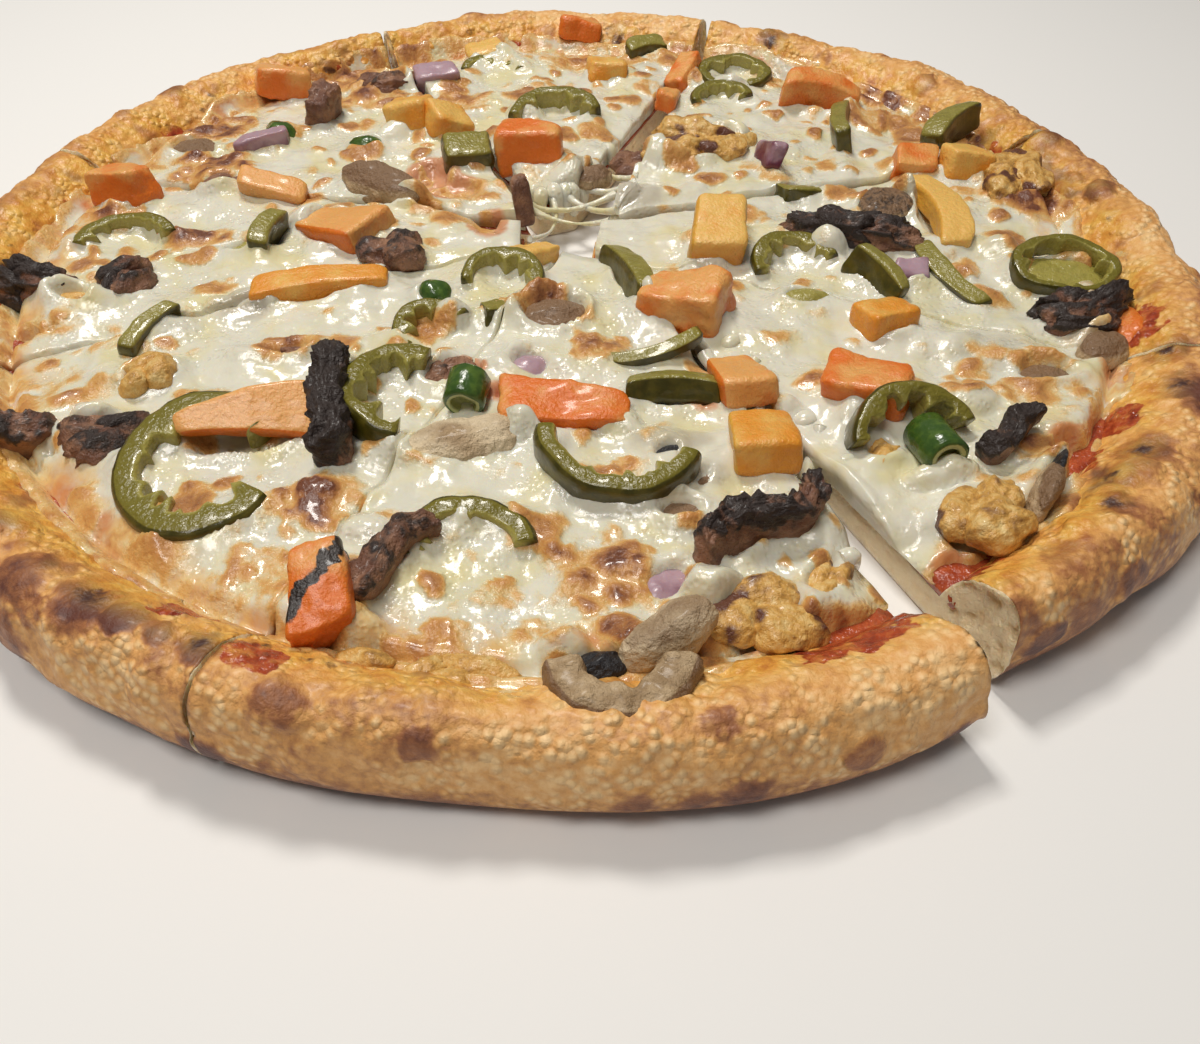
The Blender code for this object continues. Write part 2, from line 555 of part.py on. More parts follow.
def drop_scraps(mesh):
    """Keep the largest joined part of a mesh and drop loose scraps."""
    bm = bmesh.new()
    bm.from_mesh(mesh)
    bmesh.ops.remove_doubles(bm, verts=bm.verts, dist=0.02 * MM)
    bmesh.ops.dissolve_degenerate(bm, dist=0.02 * MM, edges=bm.edges)
    left = set(bm.verts)
    islands = []
    while left:
        island = set()
        stack = [left.pop()]
        while stack:
            vert = stack.pop()
            island.add(vert)
            for edge in vert.link_edges:
                other = edge.other_vert(vert)
                if other in left:
                    left.remove(other)
                    stack.append(other)
        islands.append(island)
    islands.sort(key=len)
    for scrap in islands[:-1]:
        bmesh.ops.delete(bm, geom=list(scrap), context="VERTS")
    bm.to_mesh(mesh)
    bm.free()


def is_closed(mesh):
    """Whether every edge of a mesh has two faces."""
    bm = bmesh.new()
    bm.from_mesh(mesh)
    closed = all(len(edge.link_faces) == 2 for edge in bm.edges)
    bm.free()
    return closed


def combine(obj, others, operation):
    """Apply one Boolean with all the other objects to an object, then remove the others."""
    group = bpy.data.collections.new(obj.name + "_group")
    bpy.context.scene.collection.children.link(group)
    for other in others:
        group.objects.link(other)
    modifier = obj.modifiers.new("Fit", "BOOLEAN")
    modifier.operation = operation
    modifier.operand_type = "COLLECTION"
    modifier.collection = group
    for solver in ("EXACT", "MANIFOLD"):
        modifier.solver = solver
        view = bpy.context.evaluated_depsgraph_get()
        mesh = bpy.data.meshes.new_from_object(obj.evaluated_get(view))
        drop_scraps(mesh)
        if is_closed(mesh):
            break
    obj.modifiers.clear()
    materials = list(obj.data.materials)
    obj.data = mesh
    mesh.name = obj.name
    mesh.materials.clear()
    for material in materials:
        mesh.materials.append(material)
    for other in others:
        bpy.data.objects.remove(other, do_unlink=True)
    bpy.data.collections.remove(group)


def fit_clear(obj, neighbours):
    """Cut an object clear of each neighbour that it may touch."""
    for other in neighbours:
        if boxes_meet(obj, other, 1.0):
            combine(obj, [grown(other, BED_GAP)], "DIFFERENCE")


def main():
    """Build the pizza: crust and sauce, toppings that clear them, then cheese round all."""
    clear_scene()
    doughs = [make_dough(row) for row in SLICES]
    for row in SLICES:
        make_sauce(row)
    toppings = []
    for name, finish, spot, turn, tilt_x, tilt_y, shape in NODE_TOPPINGS:
        bm = place(shape(), spot, turn, tilt_x, tilt_y)
        piece = make_object(name, bm, finish)
        fit_clear(piece, doughs + toppings)
        toppings.append(piece)
    cheeses = []
    for row in SLICES:
        cheese = make_cheese(row)
        fused = []
        for slice_name, spot, turn, tilt_x, tilt_y, shape in FUSED_TOPPINGS:
            if slice_name == row[0]:
                bm = place(shape(), spot, turn, tilt_x, tilt_y)
                fused.append(make_object("fused", bm, "cheese"))
        for piece in fused:
            bpy.context.scene.collection.objects.unlink(piece)
        if fused:
            combine(cheese, fused, "UNION")
        fit_clear(cheese, toppings + doughs + cheeses)
        cheeses.append(cheese)


main()
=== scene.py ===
"""The looks of a pan pizza of 30 cm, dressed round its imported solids.

Places and sizes are in millimetres in the pizza's own frame and become metres when a mesh
is finished. Dough, sauce and cheese are surfaces over each slice; toppings are laid on them.
"""

import logging
import math
from dataclasses import dataclass, field
from enum import Enum

import bmesh
import bpy
import numpy as np
from mathutils import Matrix, Vector


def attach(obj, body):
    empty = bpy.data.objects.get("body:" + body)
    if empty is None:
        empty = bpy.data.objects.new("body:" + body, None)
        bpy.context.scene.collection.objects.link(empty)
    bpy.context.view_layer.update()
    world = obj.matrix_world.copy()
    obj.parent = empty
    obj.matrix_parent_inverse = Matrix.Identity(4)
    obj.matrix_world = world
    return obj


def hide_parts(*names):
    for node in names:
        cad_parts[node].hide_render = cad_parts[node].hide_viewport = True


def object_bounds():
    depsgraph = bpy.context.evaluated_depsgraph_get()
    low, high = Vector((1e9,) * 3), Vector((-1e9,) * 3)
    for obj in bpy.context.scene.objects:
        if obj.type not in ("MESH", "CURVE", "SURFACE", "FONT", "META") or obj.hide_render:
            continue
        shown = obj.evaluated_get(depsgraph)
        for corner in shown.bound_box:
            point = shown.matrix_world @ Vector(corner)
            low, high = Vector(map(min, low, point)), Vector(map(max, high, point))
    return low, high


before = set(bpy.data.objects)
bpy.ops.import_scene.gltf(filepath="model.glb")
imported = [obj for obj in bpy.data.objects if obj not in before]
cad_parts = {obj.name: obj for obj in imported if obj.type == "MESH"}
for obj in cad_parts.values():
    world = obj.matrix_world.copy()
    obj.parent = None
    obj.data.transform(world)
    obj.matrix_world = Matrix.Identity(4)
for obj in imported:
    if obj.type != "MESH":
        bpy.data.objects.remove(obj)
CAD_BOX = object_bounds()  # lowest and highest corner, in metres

Array = np.ndarray
Mesh = bpy.types.Mesh
Material = bpy.types.Material
Colour = tuple[float, float, float]

MM = 0.001
LOG = logging.getLogger("pizza")

# Heights and radii that the solids have, in millimetres
FLOOR_Z = 7.0
RIM_HEIGHT = 20.0
RIM_FOOT = 130.0
RIM_MIDDLE = 140.0
SAUCE_Z = 8.6
CHEESE_Z = 12.9
CHEESE_UNDER = 8.3
BRIM = RIM_FOOT + 4.5  # how far out the cheese creeps up the rim
TOPPING_TOP = 24.4
BED = 9.7  # where most toppings stand, in the cheese
RIM_WIDTH = 22.0

# A cut that gapes more than this shows its faces
WIDE_CUT = 1.4

# How far the rim reaches from the middle, by polar angle in degrees
RIM_REACH = (
    (-180, 150.0), (-160, 151.0), (-132, 153.0), (-111, 152.0), (-98, 151.0), (-75, 154.0),
    (-64, 153.0), (-61, 148.0), (-50, 151.0), (-42, 155.0), (-33, 156.0), (-11, 152.5),
    (3, 153.5), (22, 152.0), (37, 156.0), (50, 151.0), (67, 149.0), (78, 152.0),
    (89, 155.0), (102, 150.0), (114, 145.0), (124, 143.5), (136, 150.0), (163, 148.5),
    (180, 150.0),
)

# The rim's section: share of the reach beyond the foot, and height
RIM_SECTION = (
    (0.000, FLOOR_Z), (0.055, 10.2), (0.170, 13.8), (0.330, 17.2), (0.520, 19.6),
    (0.700, RIM_HEIGHT), (0.850, 18.2), (0.950, 14.4), (1.000, 9.0), (0.975, 4.2),
    (0.890, 1.0), (0.760, 0.0),
)


# Arithmetic on arrays


def smooth(value: Array, low: float, high: float) -> Array:
    """Rise smoothly from 0 at low to 1 at high (or fall, if high is under low)."""
    share = np.clip((value - low) / (high - low), 0.0, 1.0)
    return share * share * (3.0 - 2.0 * share)


class Noise:
    """Seeded gradient noise and cell noise on arrays of points in millimetres."""

    def __init__(self, seed: int) -> None:
        """Shuffle the lattice.

        Args:
            seed: Chooses the pattern.
        """
        rng = np.random.default_rng(seed)
        self.table = np.tile(rng.permutation(256), 2)
        gradients = rng.normal(size=(256, 3))
        self.gradients = gradients / np.linalg.norm(gradients, axis=1)[:, None]
        self.jitter = rng.random((256, 4))

    def corner(self, cell: Array) -> Array:
        """Return the table entry of each lattice cell."""
        wrapped = cell & 255
        first = self.table[wrapped[:, 0]]
        second = self.table[first + wrapped[:, 1]]
        return self.table[second + wrapped[:, 2]]

    def wave(self, points: Array, size: float) -> Array:
        """Return smooth noise of about -1 to 1 whose humps are as wide as size."""
        scaled = points / size
        base = np.floor(scaled).astype(int)
        part = scaled - base
        ease = part * part * part * (part * (part * 6.0 - 15.0) + 10.0)
        total = np.zeros(len(points))
        for dx in (0, 1):
            for dy in (0, 1):
                for dz in (0, 1):
                    shift = np.array((dx, dy, dz))
                    gradient = self.gradients[self.corner(base + shift)]
                    dot = np.einsum("ij,ij->i", gradient, part - shift)
                    weight = np.prod(np.where(shift == 1, ease, 1.0 - ease), axis=1)
                    total += weight * dot
        return total * 1.6

    def hills(self, points: Array, size: float, octaves: int = 3) -> Array:
        """Return waves summed over octaves, each half as wide and half as high."""
        total = np.zeros(len(points))
        for octave in range(octaves):
            total += self.wave(points + 37.0 * octave, size / 2 ** octave) / 2 ** octave
        return total

    def ridges(self, points: Array, size: float, octaves: int = 3) -> Array:
        """Return noise from 0 to 1 with sharp crests, for torn and charred edges."""
        total = np.zeros(len(points))
        for octave in range(octaves):
            crest = 1.0 - np.abs(self.wave(points + 53.0 * octave, size / 2 ** octave))
            total += crest * crest / 2 ** octave
        return total / (2.0 - 0.5 ** (octaves - 1))

    def warp(self, points: Array, size: float, amount: float) -> Array:
        """Push points about, so that what is read there is less regular."""
        push = np.column_stack([self.wave(points + shift, size) for shift in (11.0, 71.0, 131.0)])
        push[:, 2] *= np.ptp(points[:, 2]) > 1e-9
        return points + amount * push

    def domes(self, points: Array, size: float, fill: float = 0.5) -> Array:
        """Return round bumps from 0 to 1, about one for each cell.

        Args:
            points: Where to read the bumps.
            size: The cells' width.
            fill: A bump's radius as a share of the cell's width.

        Returns:
            Each point's height on the highest bump over it.
        """
        scaled = points / size
        base = np.floor(scaled).astype(int)
        best = np.zeros(len(points))
        flat = np.ptp(points[:, 2]) < 1e-9
        for dx in (-1, 0, 1):
            for dy in (-1, 0, 1):
                for dz in (0,) if flat else (-1, 0, 1):
                    cell = base + np.array((dx, dy, dz))
                    chance = self.jitter[self.corner(cell)]
                    away = scaled - cell - chance[:, :3]
                    if flat:
                        away[:, 2] = 0.0
                    radius = fill * (0.5 + chance[:, 3])
                    near = 1.0 - np.einsum("ij,ij->i", away, away) / radius ** 2
                    tall = np.sqrt(np.clip(near, 0.0, 1.0)) * (0.4 + 0.6 * chance[:, 3])
                    best = np.maximum(best, tall)
        return best


def flat_points(x: Array, y: Array) -> Array:
    """Stack plan coordinates into points at height 0."""
    return np.column_stack((x, y, np.zeros(len(x))))


def heading(degrees: float) -> Array:
    """Return the plan's unit vector at a polar angle."""
    return np.array((math.cos(math.radians(degrees)), math.sin(math.radians(degrees))))


def reach_at(angle: Array) -> Array:
    """Return the rim's outer radius at polar angles in degrees."""
    turned = (angle + 180.0) % 360.0 - 180.0
    angles = np.array([row[0] for row in RIM_REACH], float)
    radii = np.array([row[1] for row in RIM_REACH])
    index = np.clip(np.searchsorted(angles, turned, side="right") - 1, 0, len(angles) - 2)
    share = (turned - angles[index]) / (angles[index + 1] - angles[index])
    ease = 0.5 - 0.5 * np.cos(math.pi * share)
    return radii[index] + (radii[index + 1] - radii[index]) * ease


def rim_section(count: int) -> Array:
    """Return points along the rim's section on a smooth curve through its own points."""
    points = np.array(RIM_SECTION)
    padded = np.vstack((2 * points[0] - points[1], points, 2 * points[-1] - points[-2]))
    lengths = np.hypot(np.diff(points[:, 0]) * RIM_WIDTH, np.diff(points[:, 1]))
    marks = np.concatenate(([0.0], np.cumsum(lengths)))
    wanted = np.linspace(0.0, marks[-1], count)
    index = np.clip(np.searchsorted(marks, wanted, side="right") - 1, 0, len(points) - 2)
    t = ((wanted - marks[index]) / lengths[index])[:, None]
    p0, p1, p2, p3 = (padded[index + k] for k in range(4))
    curve = 2 * p1 + (p2 - p0) * t + (2 * p0 - 5 * p1 + 4 * p2 - p3) * t ** 2
    return 0.5 * (curve + (3 * p1 - p0 - 3 * p2 + p3) * t ** 3)


# Meshes and pieces


def grid_mesh(columns: int, rows: int) -> tuple[Mesh, Array, Array]:
    """Make a flat grid as a mesh.

    Args:
        columns: Faces across.
        rows: Faces along.

    Returns:
        The mesh, and each vertex's share across and along.
    """
    bm = bmesh.new()
    bmesh.ops.create_grid(bm, x_segments=columns, y_segments=rows, size=0.5)
    mesh = new_mesh(bm, "grid")
    places = read_places(mesh)
    return mesh, places[:, 0] + 0.5, places[:, 1] + 0.5


def new_mesh(bm: bmesh.types.BMesh, name: str) -> Mesh:
    """Turn a bmesh into a new mesh, and free it."""
    mesh = bpy.data.meshes.new(name)
    bm.to_mesh(mesh)
    bm.free()
    return mesh


def read_places(mesh: Mesh) -> Array:
    """Return a mesh's vertices as rows."""
    places = np.empty(len(mesh.vertices) * 3)
    mesh.vertices.foreach_get("co", places)
    return places.reshape(-1, 3)


def write_places(mesh: Mesh, places: Array) -> None:
    """Move a mesh's vertices."""
    mesh.vertices.foreach_set("co", places.astype(float).ravel())
    mesh.update()


def read_normals(mesh: Mesh) -> Array:
    """Return a mesh's vertex normals as rows."""
    normals = np.empty(len(mesh.vertices) * 3)
    mesh.vertex_normals.foreach_get("vector", normals)
    return normals.reshape(-1, 3)


def swell(mesh: Mesh, places: Array, amount: Array) -> Array:
    """Move a mesh to new places and then outwards by an amount, and return where it is."""
    write_places(mesh, places)
    places = places + read_normals(mesh) * amount[:, None]
    write_places(mesh, places)
    return places


def write_mask(mesh: Mesh, name: str, values: Array | float) -> None:
    """Keep a number for each vertex, for a finish to read."""
    layer = mesh.attributes.get(name) or mesh.attributes.new(name, "FLOAT", "POINT")
    layer.data.foreach_set("value", np.broadcast_to(values, len(mesh.vertices)).astype(float))


def close_and_smooth(mesh: Mesh) -> None:
    """Point a closed mesh's faces outwards and shade it smooth."""
    bm = bmesh.new()
    bm.from_mesh(mesh)
    bmesh.ops.recalc_face_normals(bm, faces=bm.faces)
    bm.to_mesh(mesh)
    bm.free()
    mesh.shade_smooth()


def seal_below(mesh: Mesh, level: float) -> None:
    """Close a sheet with a skirt down to a level and a flat underside."""
    bm = bmesh.new()
    bm.from_mesh(mesh)
    border = [edge for edge in bm.edges if edge.is_boundary]
    ring = bmesh.ops.extrude_edge_only(bm, edges=border)["geom"]
    for item in ring:
        if isinstance(item, bmesh.types.BMVert):
            item.co.z = level
    bmesh.ops.holes_fill(bm, edges=bm.edges, sides=0)
    bmesh.ops.recalc_face_normals(bm, faces=bm.faces)
    bm.to_mesh(mesh)
    bm.free()
    mesh.shade_smooth()


def make_piece(name: str, mesh: Mesh, materials: list[Material],
               nodes: tuple[str, ...] = ()) -> bpy.types.Object:
    """Turn a mesh in millimetres into a piece that rides on the pizza.

    Args:
        name: The piece's name.
        mesh: Its mesh, in millimetres.
        materials: Its finishes, in the order of its faces' material numbers.
        nodes: The solids that it stands for.

    Returns:
        The piece's object.
    """
    places = read_places(mesh) * MM
    mesh.vertices.foreach_set("co", np.clip(places, *CAD_BOX).ravel())
    mesh.update()
    mesh.name = name
    for material in materials:
        mesh.materials.append(material)
    piece = bpy.data.objects.new(name, mesh)
    bpy.context.scene.collection.objects.link(piece)
    if nodes:
        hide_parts(*nodes)
    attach(piece, "root")
    LOG.info("%s: %d faces", name, len(mesh.polygons))
    return piece


# Finishes


class Socket:
    """A number in a shader, whose arithmetic adds Math nodes."""

    def __init__(self, graph: "Graph", link: bpy.types.NodeSocket) -> None:
        """Wrap an output socket."""
        self.graph = graph
        self.link = link

    def __add__(self, other: "Socket | float") -> "Socket":
        """Return the sum."""
        return self.graph.math("ADD", self, other)

    __radd__ = __add__

    def __sub__(self, other: "Socket | float") -> "Socket":
        """Return the difference."""
        return self.graph.math("SUBTRACT", self, other)

    def __rsub__(self, other: "Socket | float") -> "Socket":
        """Return the difference, this number taken away."""
        return self.graph.math("SUBTRACT", other, self)

    def __mul__(self, other: "Socket | float") -> "Socket":
        """Return the product."""
        return self.graph.math("MULTIPLY", self, other)

    __rmul__ = __mul__

    def smooth(self, low: float, high: float) -> "Socket":
        """Rise smoothly from 0 at low to 1 at high."""
        node = self.graph.node(
            "ShaderNodeMapRange", {"interpolation_type": "SMOOTHSTEP"},
            {"Value": self, "From Min": low, "From Max": high},
        )
        return Socket(self.graph, node.outputs["Result"])


class Graph:
    """A material under construction."""

    def __init__(self, name: str) -> None:
        """Start a material with a Principled shader.

        Args:
            name: The material's name.
        """
        self.material = bpy.data.materials.new(name)
        self.material.use_nodes = True
        self.tree = self.material.node_tree
        self.shader = self.tree.nodes["Principled BSDF"]
        place = self.node("ShaderNodeTexCoord", {}, {})
        self.place = place.outputs["Object"]

    def node(self, kind: str, settings: dict, inputs: dict) -> bpy.types.Node:
        """Add a node.

        Args:
            kind: The node's type.
            settings: Its properties, set first.
            inputs: Values or links of its sockets, by name or number.

        Returns:
            The node.
        """
        node = self.tree.nodes.new(kind)
        for key, value in settings.items():
            setattr(node, key, value)
        for key, value in inputs.items():
            self.feed(node.inputs[key], value)
        return node

    def feed(self, socket: bpy.types.NodeSocket, value: object) -> None:
        """Link or set one input."""
        if isinstance(value, Socket):
            self.tree.links.new(value.link, socket)
        elif isinstance(value, bpy.types.NodeSocket):
            self.tree.links.new(value, socket)
        else:
            socket.default_value = value

    def math(self, operation: str, *values: Socket | float) -> Socket:
        """Add a Math node over numbers or links."""
        inputs = dict(enumerate(values))
        node = self.node("ShaderNodeMath", {"operation": operation}, inputs)
        return Socket(self, node.outputs[0])

    def mask(self, name: str) -> Socket:
        """Read a number that the mesh keeps for each vertex."""
        node = self.node("ShaderNodeAttribute", {"attribute_name": name}, {})
        return Socket(self, node.outputs["Fac"])

    def uneven(self, name: str, grain: Socket, amount: float) -> Socket:
        """Read a mask and shift it up and down by a grain, so that its borders are uneven."""
        return self.mask(name) + (grain - 0.5) * amount

    def noise(self, size: float, detail: float = 3.0, roughness: float = 0.55) -> Socket:
        """Add noise of 0 to 1 whose humps are size millimetres wide."""
        node = self.node("ShaderNodeTexNoise", {}, {
            "Vector": self.place, "Scale": 1.0 / (size * MM),
            "Detail": detail, "Roughness": roughness,
        })
        return Socket(self, node.outputs[0])

    def cells(self, size: float) -> Socket:
        """Add the distance to the nearest of scattered points, about 0 to 1."""
        node = self.node("ShaderNodeTexVoronoi", {"feature": "F1"}, {
            "Vector": self.place, "Scale": 1.0 / (size * MM), "Randomness": 1.0,
        })
        return Socket(self, node.outputs["Distance"])

    def ramp(self, value: Socket, *stops: tuple[float, Colour]) -> Socket:
        """Turn a number into a colour."""
        node = self.node("ShaderNodeValToRGB", {}, {"Fac": value})
        band = node.color_ramp
        for index, (mark, colour) in enumerate(stops):
            if index < 2:
                stop = band.elements[index]
                stop.position = mark
            else:
                stop = band.elements.new(mark)
            stop.color = (*colour, 1.0)
        return Socket(self, node.outputs["Color"])

    def mix(self, share: Socket | float, first: object, second: object) -> Socket:
        """Mix two colours, each a link or three numbers."""
        first = (*first, 1.0) if isinstance(first, tuple) else first
        second = (*second, 1.0) if isinstance(second, tuple) else second
        inputs = {0: share, 6: first, 7: second}
        node = self.node("ShaderNodeMix", {"data_type": "RGBA"}, inputs)
        return Socket(self, node.outputs[2])

    def finish(self, colour: Socket, roughness: Socket | float, height: Socket,
               depth: float, constants: dict[str, object]) -> Material:
        """Feed the shader.

        Args:
            colour: The base colour.
            roughness: A number or a link.
            height: The fine relief, 0 to 1.
            depth: How deep the fine relief is, in millimetres.
            constants: Values set on the shader's own sockets.

        Returns:
            The material.
        """
        self.feed(self.shader.inputs["Base Color"], colour)
        self.feed(self.shader.inputs["Roughness"], roughness)
        bump = self.node("ShaderNodeBump", {}, {
            "Height": height, "Distance": depth * MM, "Strength": 1.0,
        })
        self.tree.links.new(bump.outputs["Normal"], self.shader.inputs["Normal"])
        for key, value in constants.items():
            self.shader.inputs[key].default_value = value
        return self.material


def soft(weight: float, *radius: float) -> dict[str, object]:
    """Return the shader's values for light that spreads inside, over three metre lengths."""
    return {"Subsurface Weight": weight, "Subsurface Scale": 1.0, "Subsurface Radius": radius}


def film(weight: float, roughness: float) -> dict[str, object]:
    """Return the shader's values for a clear film of oil or juice."""
    return {"Coat Weight": weight, "Coat Roughness": roughness}


WET = film(0.28, 0.09)
JUICY = {**soft(0.25, 0.003, 0.0012, 0.0006), **film(0.20, 0.14)}


@dataclass(frozen=True)
class CrustFinish:
    """Baked dough: golden tan, pebbly with fine blisters, darker where it caught the heat; its
    lower outer side is darkened with painted shade.
    """

    pale: Colour = (0.95, 0.63, 0.30)
    golden: Colour = (0.77, 0.39, 0.12)
    brown: Colour = (0.38, 0.145, 0.052)
    dark: Colour = (0.13, 0.038, 0.022)

    def material(self) -> Material:
        """Build the crust's material."""
        graph = Graph("crust")
        # The bake mask holds real browning and also painted shade on the rim's lower outer side.
        bake = graph.mask("bake")
        fine = graph.noise(2.2, 4.0, 0.6)
        broad = graph.noise(16.0, 3.0)
        # Pimples are painted paler: partly the crust's own tone, partly a painted highlight on
        # their tops.
        pimples = 1.0 - graph.cells(1.9).smooth(0.0, 0.75)
        pimples = pimples * graph.noise(9.0, 2.0).smooth(0.35, 0.6) * (1.0 - bake.smooth(0.5, 0.8))
        level = bake + (fine - 0.5) * 0.75 + (broad - 0.5) * 0.60 - pimples * 0.45
        colour = graph.ramp(level, (0.05, self.pale), (0.95, self.dark),
                            (0.36, self.golden), (0.66, self.brown))
        oil = graph.mask("oil")
        orange = graph.ramp(graph.noise(4.5, 5.0, 0.65), (0.28, (0.50, 0.15, 0.020)),
                            (0.76, (0.90, 0.66, 0.30)), (0.42, (0.74, 0.32, 0.040)),
                            (0.58, (0.86, 0.50, 0.095)))
        colour = graph.mix(oil * 0.9, colour, orange)
        red = graph.uneven("red", fine, 0.6).smooth(0.35, 0.7)
        sauce = graph.ramp(graph.noise(3.0, 4.0, 0.6), (0.32, (0.22, 0.025, 0.010)),
                           (0.72, (0.66, 0.26, 0.06)), (0.52, (0.45, 0.075, 0.022)))
        colour = graph.mix(red, colour, sauce)
        char = graph.uneven("char", graph.noise(1.6, 3.0), 0.9).smooth(0.40, 0.95)
        colour = graph.mix(char, colour, (0.060, 0.020, 0.013))
        roughness = 0.50 - oil * 0.20 - red * 0.25 + fine * 0.1
        height = pimples * 0.7 + graph.noise(0.7, 2.0) * 0.2 + fine * 0.6
        return graph.finish(colour, roughness, height, 0.85, film(0.12, 0.22))


@dataclass(frozen=True)
class CrumbFinish:
    """The cut face of the dough: pale, soft and open."""

    cream: Colour = (0.95, 0.79, 0.54)
    shade: Colour = (0.86, 0.66, 0.40)

    def material(self) -> Material:
        """Build the crumb's material."""
        graph = Graph("crumb")
        holes = graph.mask("holes")
        fine = graph.noise(1.4, 4.0, 0.65)
        low = graph.mask("low")
        # Darker in the holes: painted shade in the crumb's hollows; the fine noise adds uneven
        # tone.
        colour = graph.ramp(fine + holes * 0.55, (0.25, self.cream), (0.95, self.shade))
        colour = graph.mix(low * 0.8, colour, (0.86, 0.76, 0.62))
        height = fine + graph.noise(0.5, 2.0) * 0.4
        return graph.finish(colour, 0.6, height, 0.7, soft(0.25, 0.003, 0.002, 0.001))


@dataclass(frozen=True)
class SauceFinish:
    """Tomato sauce, thin and wet, orange where oil runs in it."""

    deep: Colour = (0.26, 0.030, 0.012)
    bright: Colour = (0.50, 0.10, 0.030)

    def material(self) -> Material:
        """Build the sauce's material."""
        graph = Graph("sauce")
        lumps = graph.noise(4.0, 4.0, 0.6)
        colour = graph.ramp(lumps, (0.3, self.deep), (0.62, self.bright),
                            (0.78, (0.66, 0.28, 0.08)))
        height = lumps + graph.noise(1.2, 2.0) * 0.5
        return graph.finish(colour, 0.25, height, 0.9, JUICY)


@dataclass(frozen=True)
class CheeseFinish:
    """Melted cheese: cream, glossy with fine bubbles, browned in raised patches."""

    cream: Colour = (0.77, 0.74, 0.61)
    butter: Colour = (0.76, 0.69, 0.41)
    gold: Colour = (0.74, 0.45, 0.15)
    tan: Colour = (0.60, 0.29, 0.085)
    brown: Colour = (0.34, 0.135, 0.050)
    dark: Colour = (0.17, 0.055, 0.024)

    def material(self) -> Material:
        """Build the cheese's material."""
        graph = Graph("cheese")
        fine = graph.noise(1.3, 3.0, 0.6)
        middle = graph.noise(4.5, 4.0, 0.55)
        broad = graph.noise(13.0, 3.0)
        base = graph.mix(broad.smooth(0.42, 0.70), self.cream, self.butter)
        clear = graph.noise(8.0, 1.0).smooth(0.50, 0.72)
        base = graph.mix(clear * 0.4, base, (0.67, 0.66, 0.56))
        gold = graph.uneven("gold", middle, 0.9) + (fine - 0.5) * 0.3
        golden = graph.ramp(middle, (0.34, (0.60, 0.25, 0.055)), (0.70, (0.84, 0.68, 0.38)),
                            (0.50, (0.76, 0.46, 0.15)))
        base = graph.mix(gold.smooth(0.25, 0.85) * 0.9, base, golden)
        grey = graph.uneven("grey", middle, 0.5)
        base = graph.mix(grey.smooth(0.25, 0.95) * 0.7, base, (0.47, 0.42, 0.33))
        red = graph.uneven("red", middle, 0.9).smooth(0.3, 0.85)
        base = graph.mix(red * 0.8, base, (0.62, 0.22, 0.070))
        bake = graph.uneven("brown", middle, 0.50) + (fine - 0.5) * 0.35
        share = bake.smooth(0.06, 0.46)
        baked = graph.ramp(bake, (0.10, (0.78, 0.62, 0.30)), (1.25, self.dark),
                           (0.34, self.gold), (0.62, self.tan), (0.92, self.brown))
        colour = graph.mix(share, base, baked)
        bubbles = graph.cells(1.5).smooth(0.0, 0.55)
        roughness = 0.17 + share * 0.14 + fine * 0.10
        sparkle = graph.noise(18.0, 2.0).smooth(0.42, 0.60)
        waves = graph.noise(5.0, 1.0)
        height = bubbles * (sparkle * 0.30 + 0.05) + fine * (0.12 + share * 0.7) + waves * 1.3
        return graph.finish(colour, roughness, height, 0.55,
                            {**soft(0.35, 0.0028, 0.0020, 0.0012), **film(0.35, 0.10)})


@dataclass(frozen=True)
class JalapenoFinish:
    """Pickled jalapeno: dark olive skin round olive flesh."""

    skin: Colour = (0.052, 0.046, 0.004)
    flesh: Colour = (0.185, 0.155, 0.018)
    heart: Colour = (0.37, 0.32, 0.075)

    def material(self) -> Material:
        """Build the jalapeno's material."""
        graph = Graph("jalapeno")
        skin = graph.mask("skin")
        heart = graph.mask("heart")
        mottle = graph.noise(3.0, 3.0)
        flesh = graph.mix((heart + (mottle - 0.5) * 0.4).smooth(0.3, 0.9), self.flesh, self.heart)
        coat = graph.mix(mottle.smooth(0.35, 0.7), self.skin, (0.105, 0.084, 0.008))
        colour = graph.mix(skin.smooth(0.35, 0.65), flesh, coat)
        height = graph.noise(1.1, 2.0) * (1.0 - skin * 0.8)
        return graph.finish(colour, 0.24 + mottle * 0.14, height, 0.45,
                            {**soft(0.15, 0.001, 0.0015, 0.0004), **WET})


@dataclass(frozen=True)
class FleshFinish:
    """Cooked tomato or sweet pepper: soft, wet and a little translucent."""

    name: str
    light: Colour
    strong: Colour
    skin: Colour

    def material(self) -> Material:
        """Build the flesh's material."""
        graph = Graph(self.name)
        tint = graph.mask("tint")
        mottle = graph.noise(5.0, 3.0)
        fibres = graph.noise(1.3, 3.0, 0.6)
        share = (tint + (mottle - 0.5) * 1.1 + (fibres - 0.5) * 0.4).smooth(0.1, 0.9)
        colour = graph.mix(share, self.light, self.strong)
        colour = graph.mix(graph.mask("skin").smooth(0.3, 0.7), colour, self.skin)
        char = graph.uneven("char", graph.noise(2.0, 4.0), 0.8).smooth(0.5, 0.75)
        colour = graph.mix(char, colour, (0.02, 0.010, 0.006))
        height = fibres + graph.noise(0.6, 2.0) * 0.3
        return graph.finish(colour, 0.30 + mottle * 0.25, height, 0.45, JUICY)


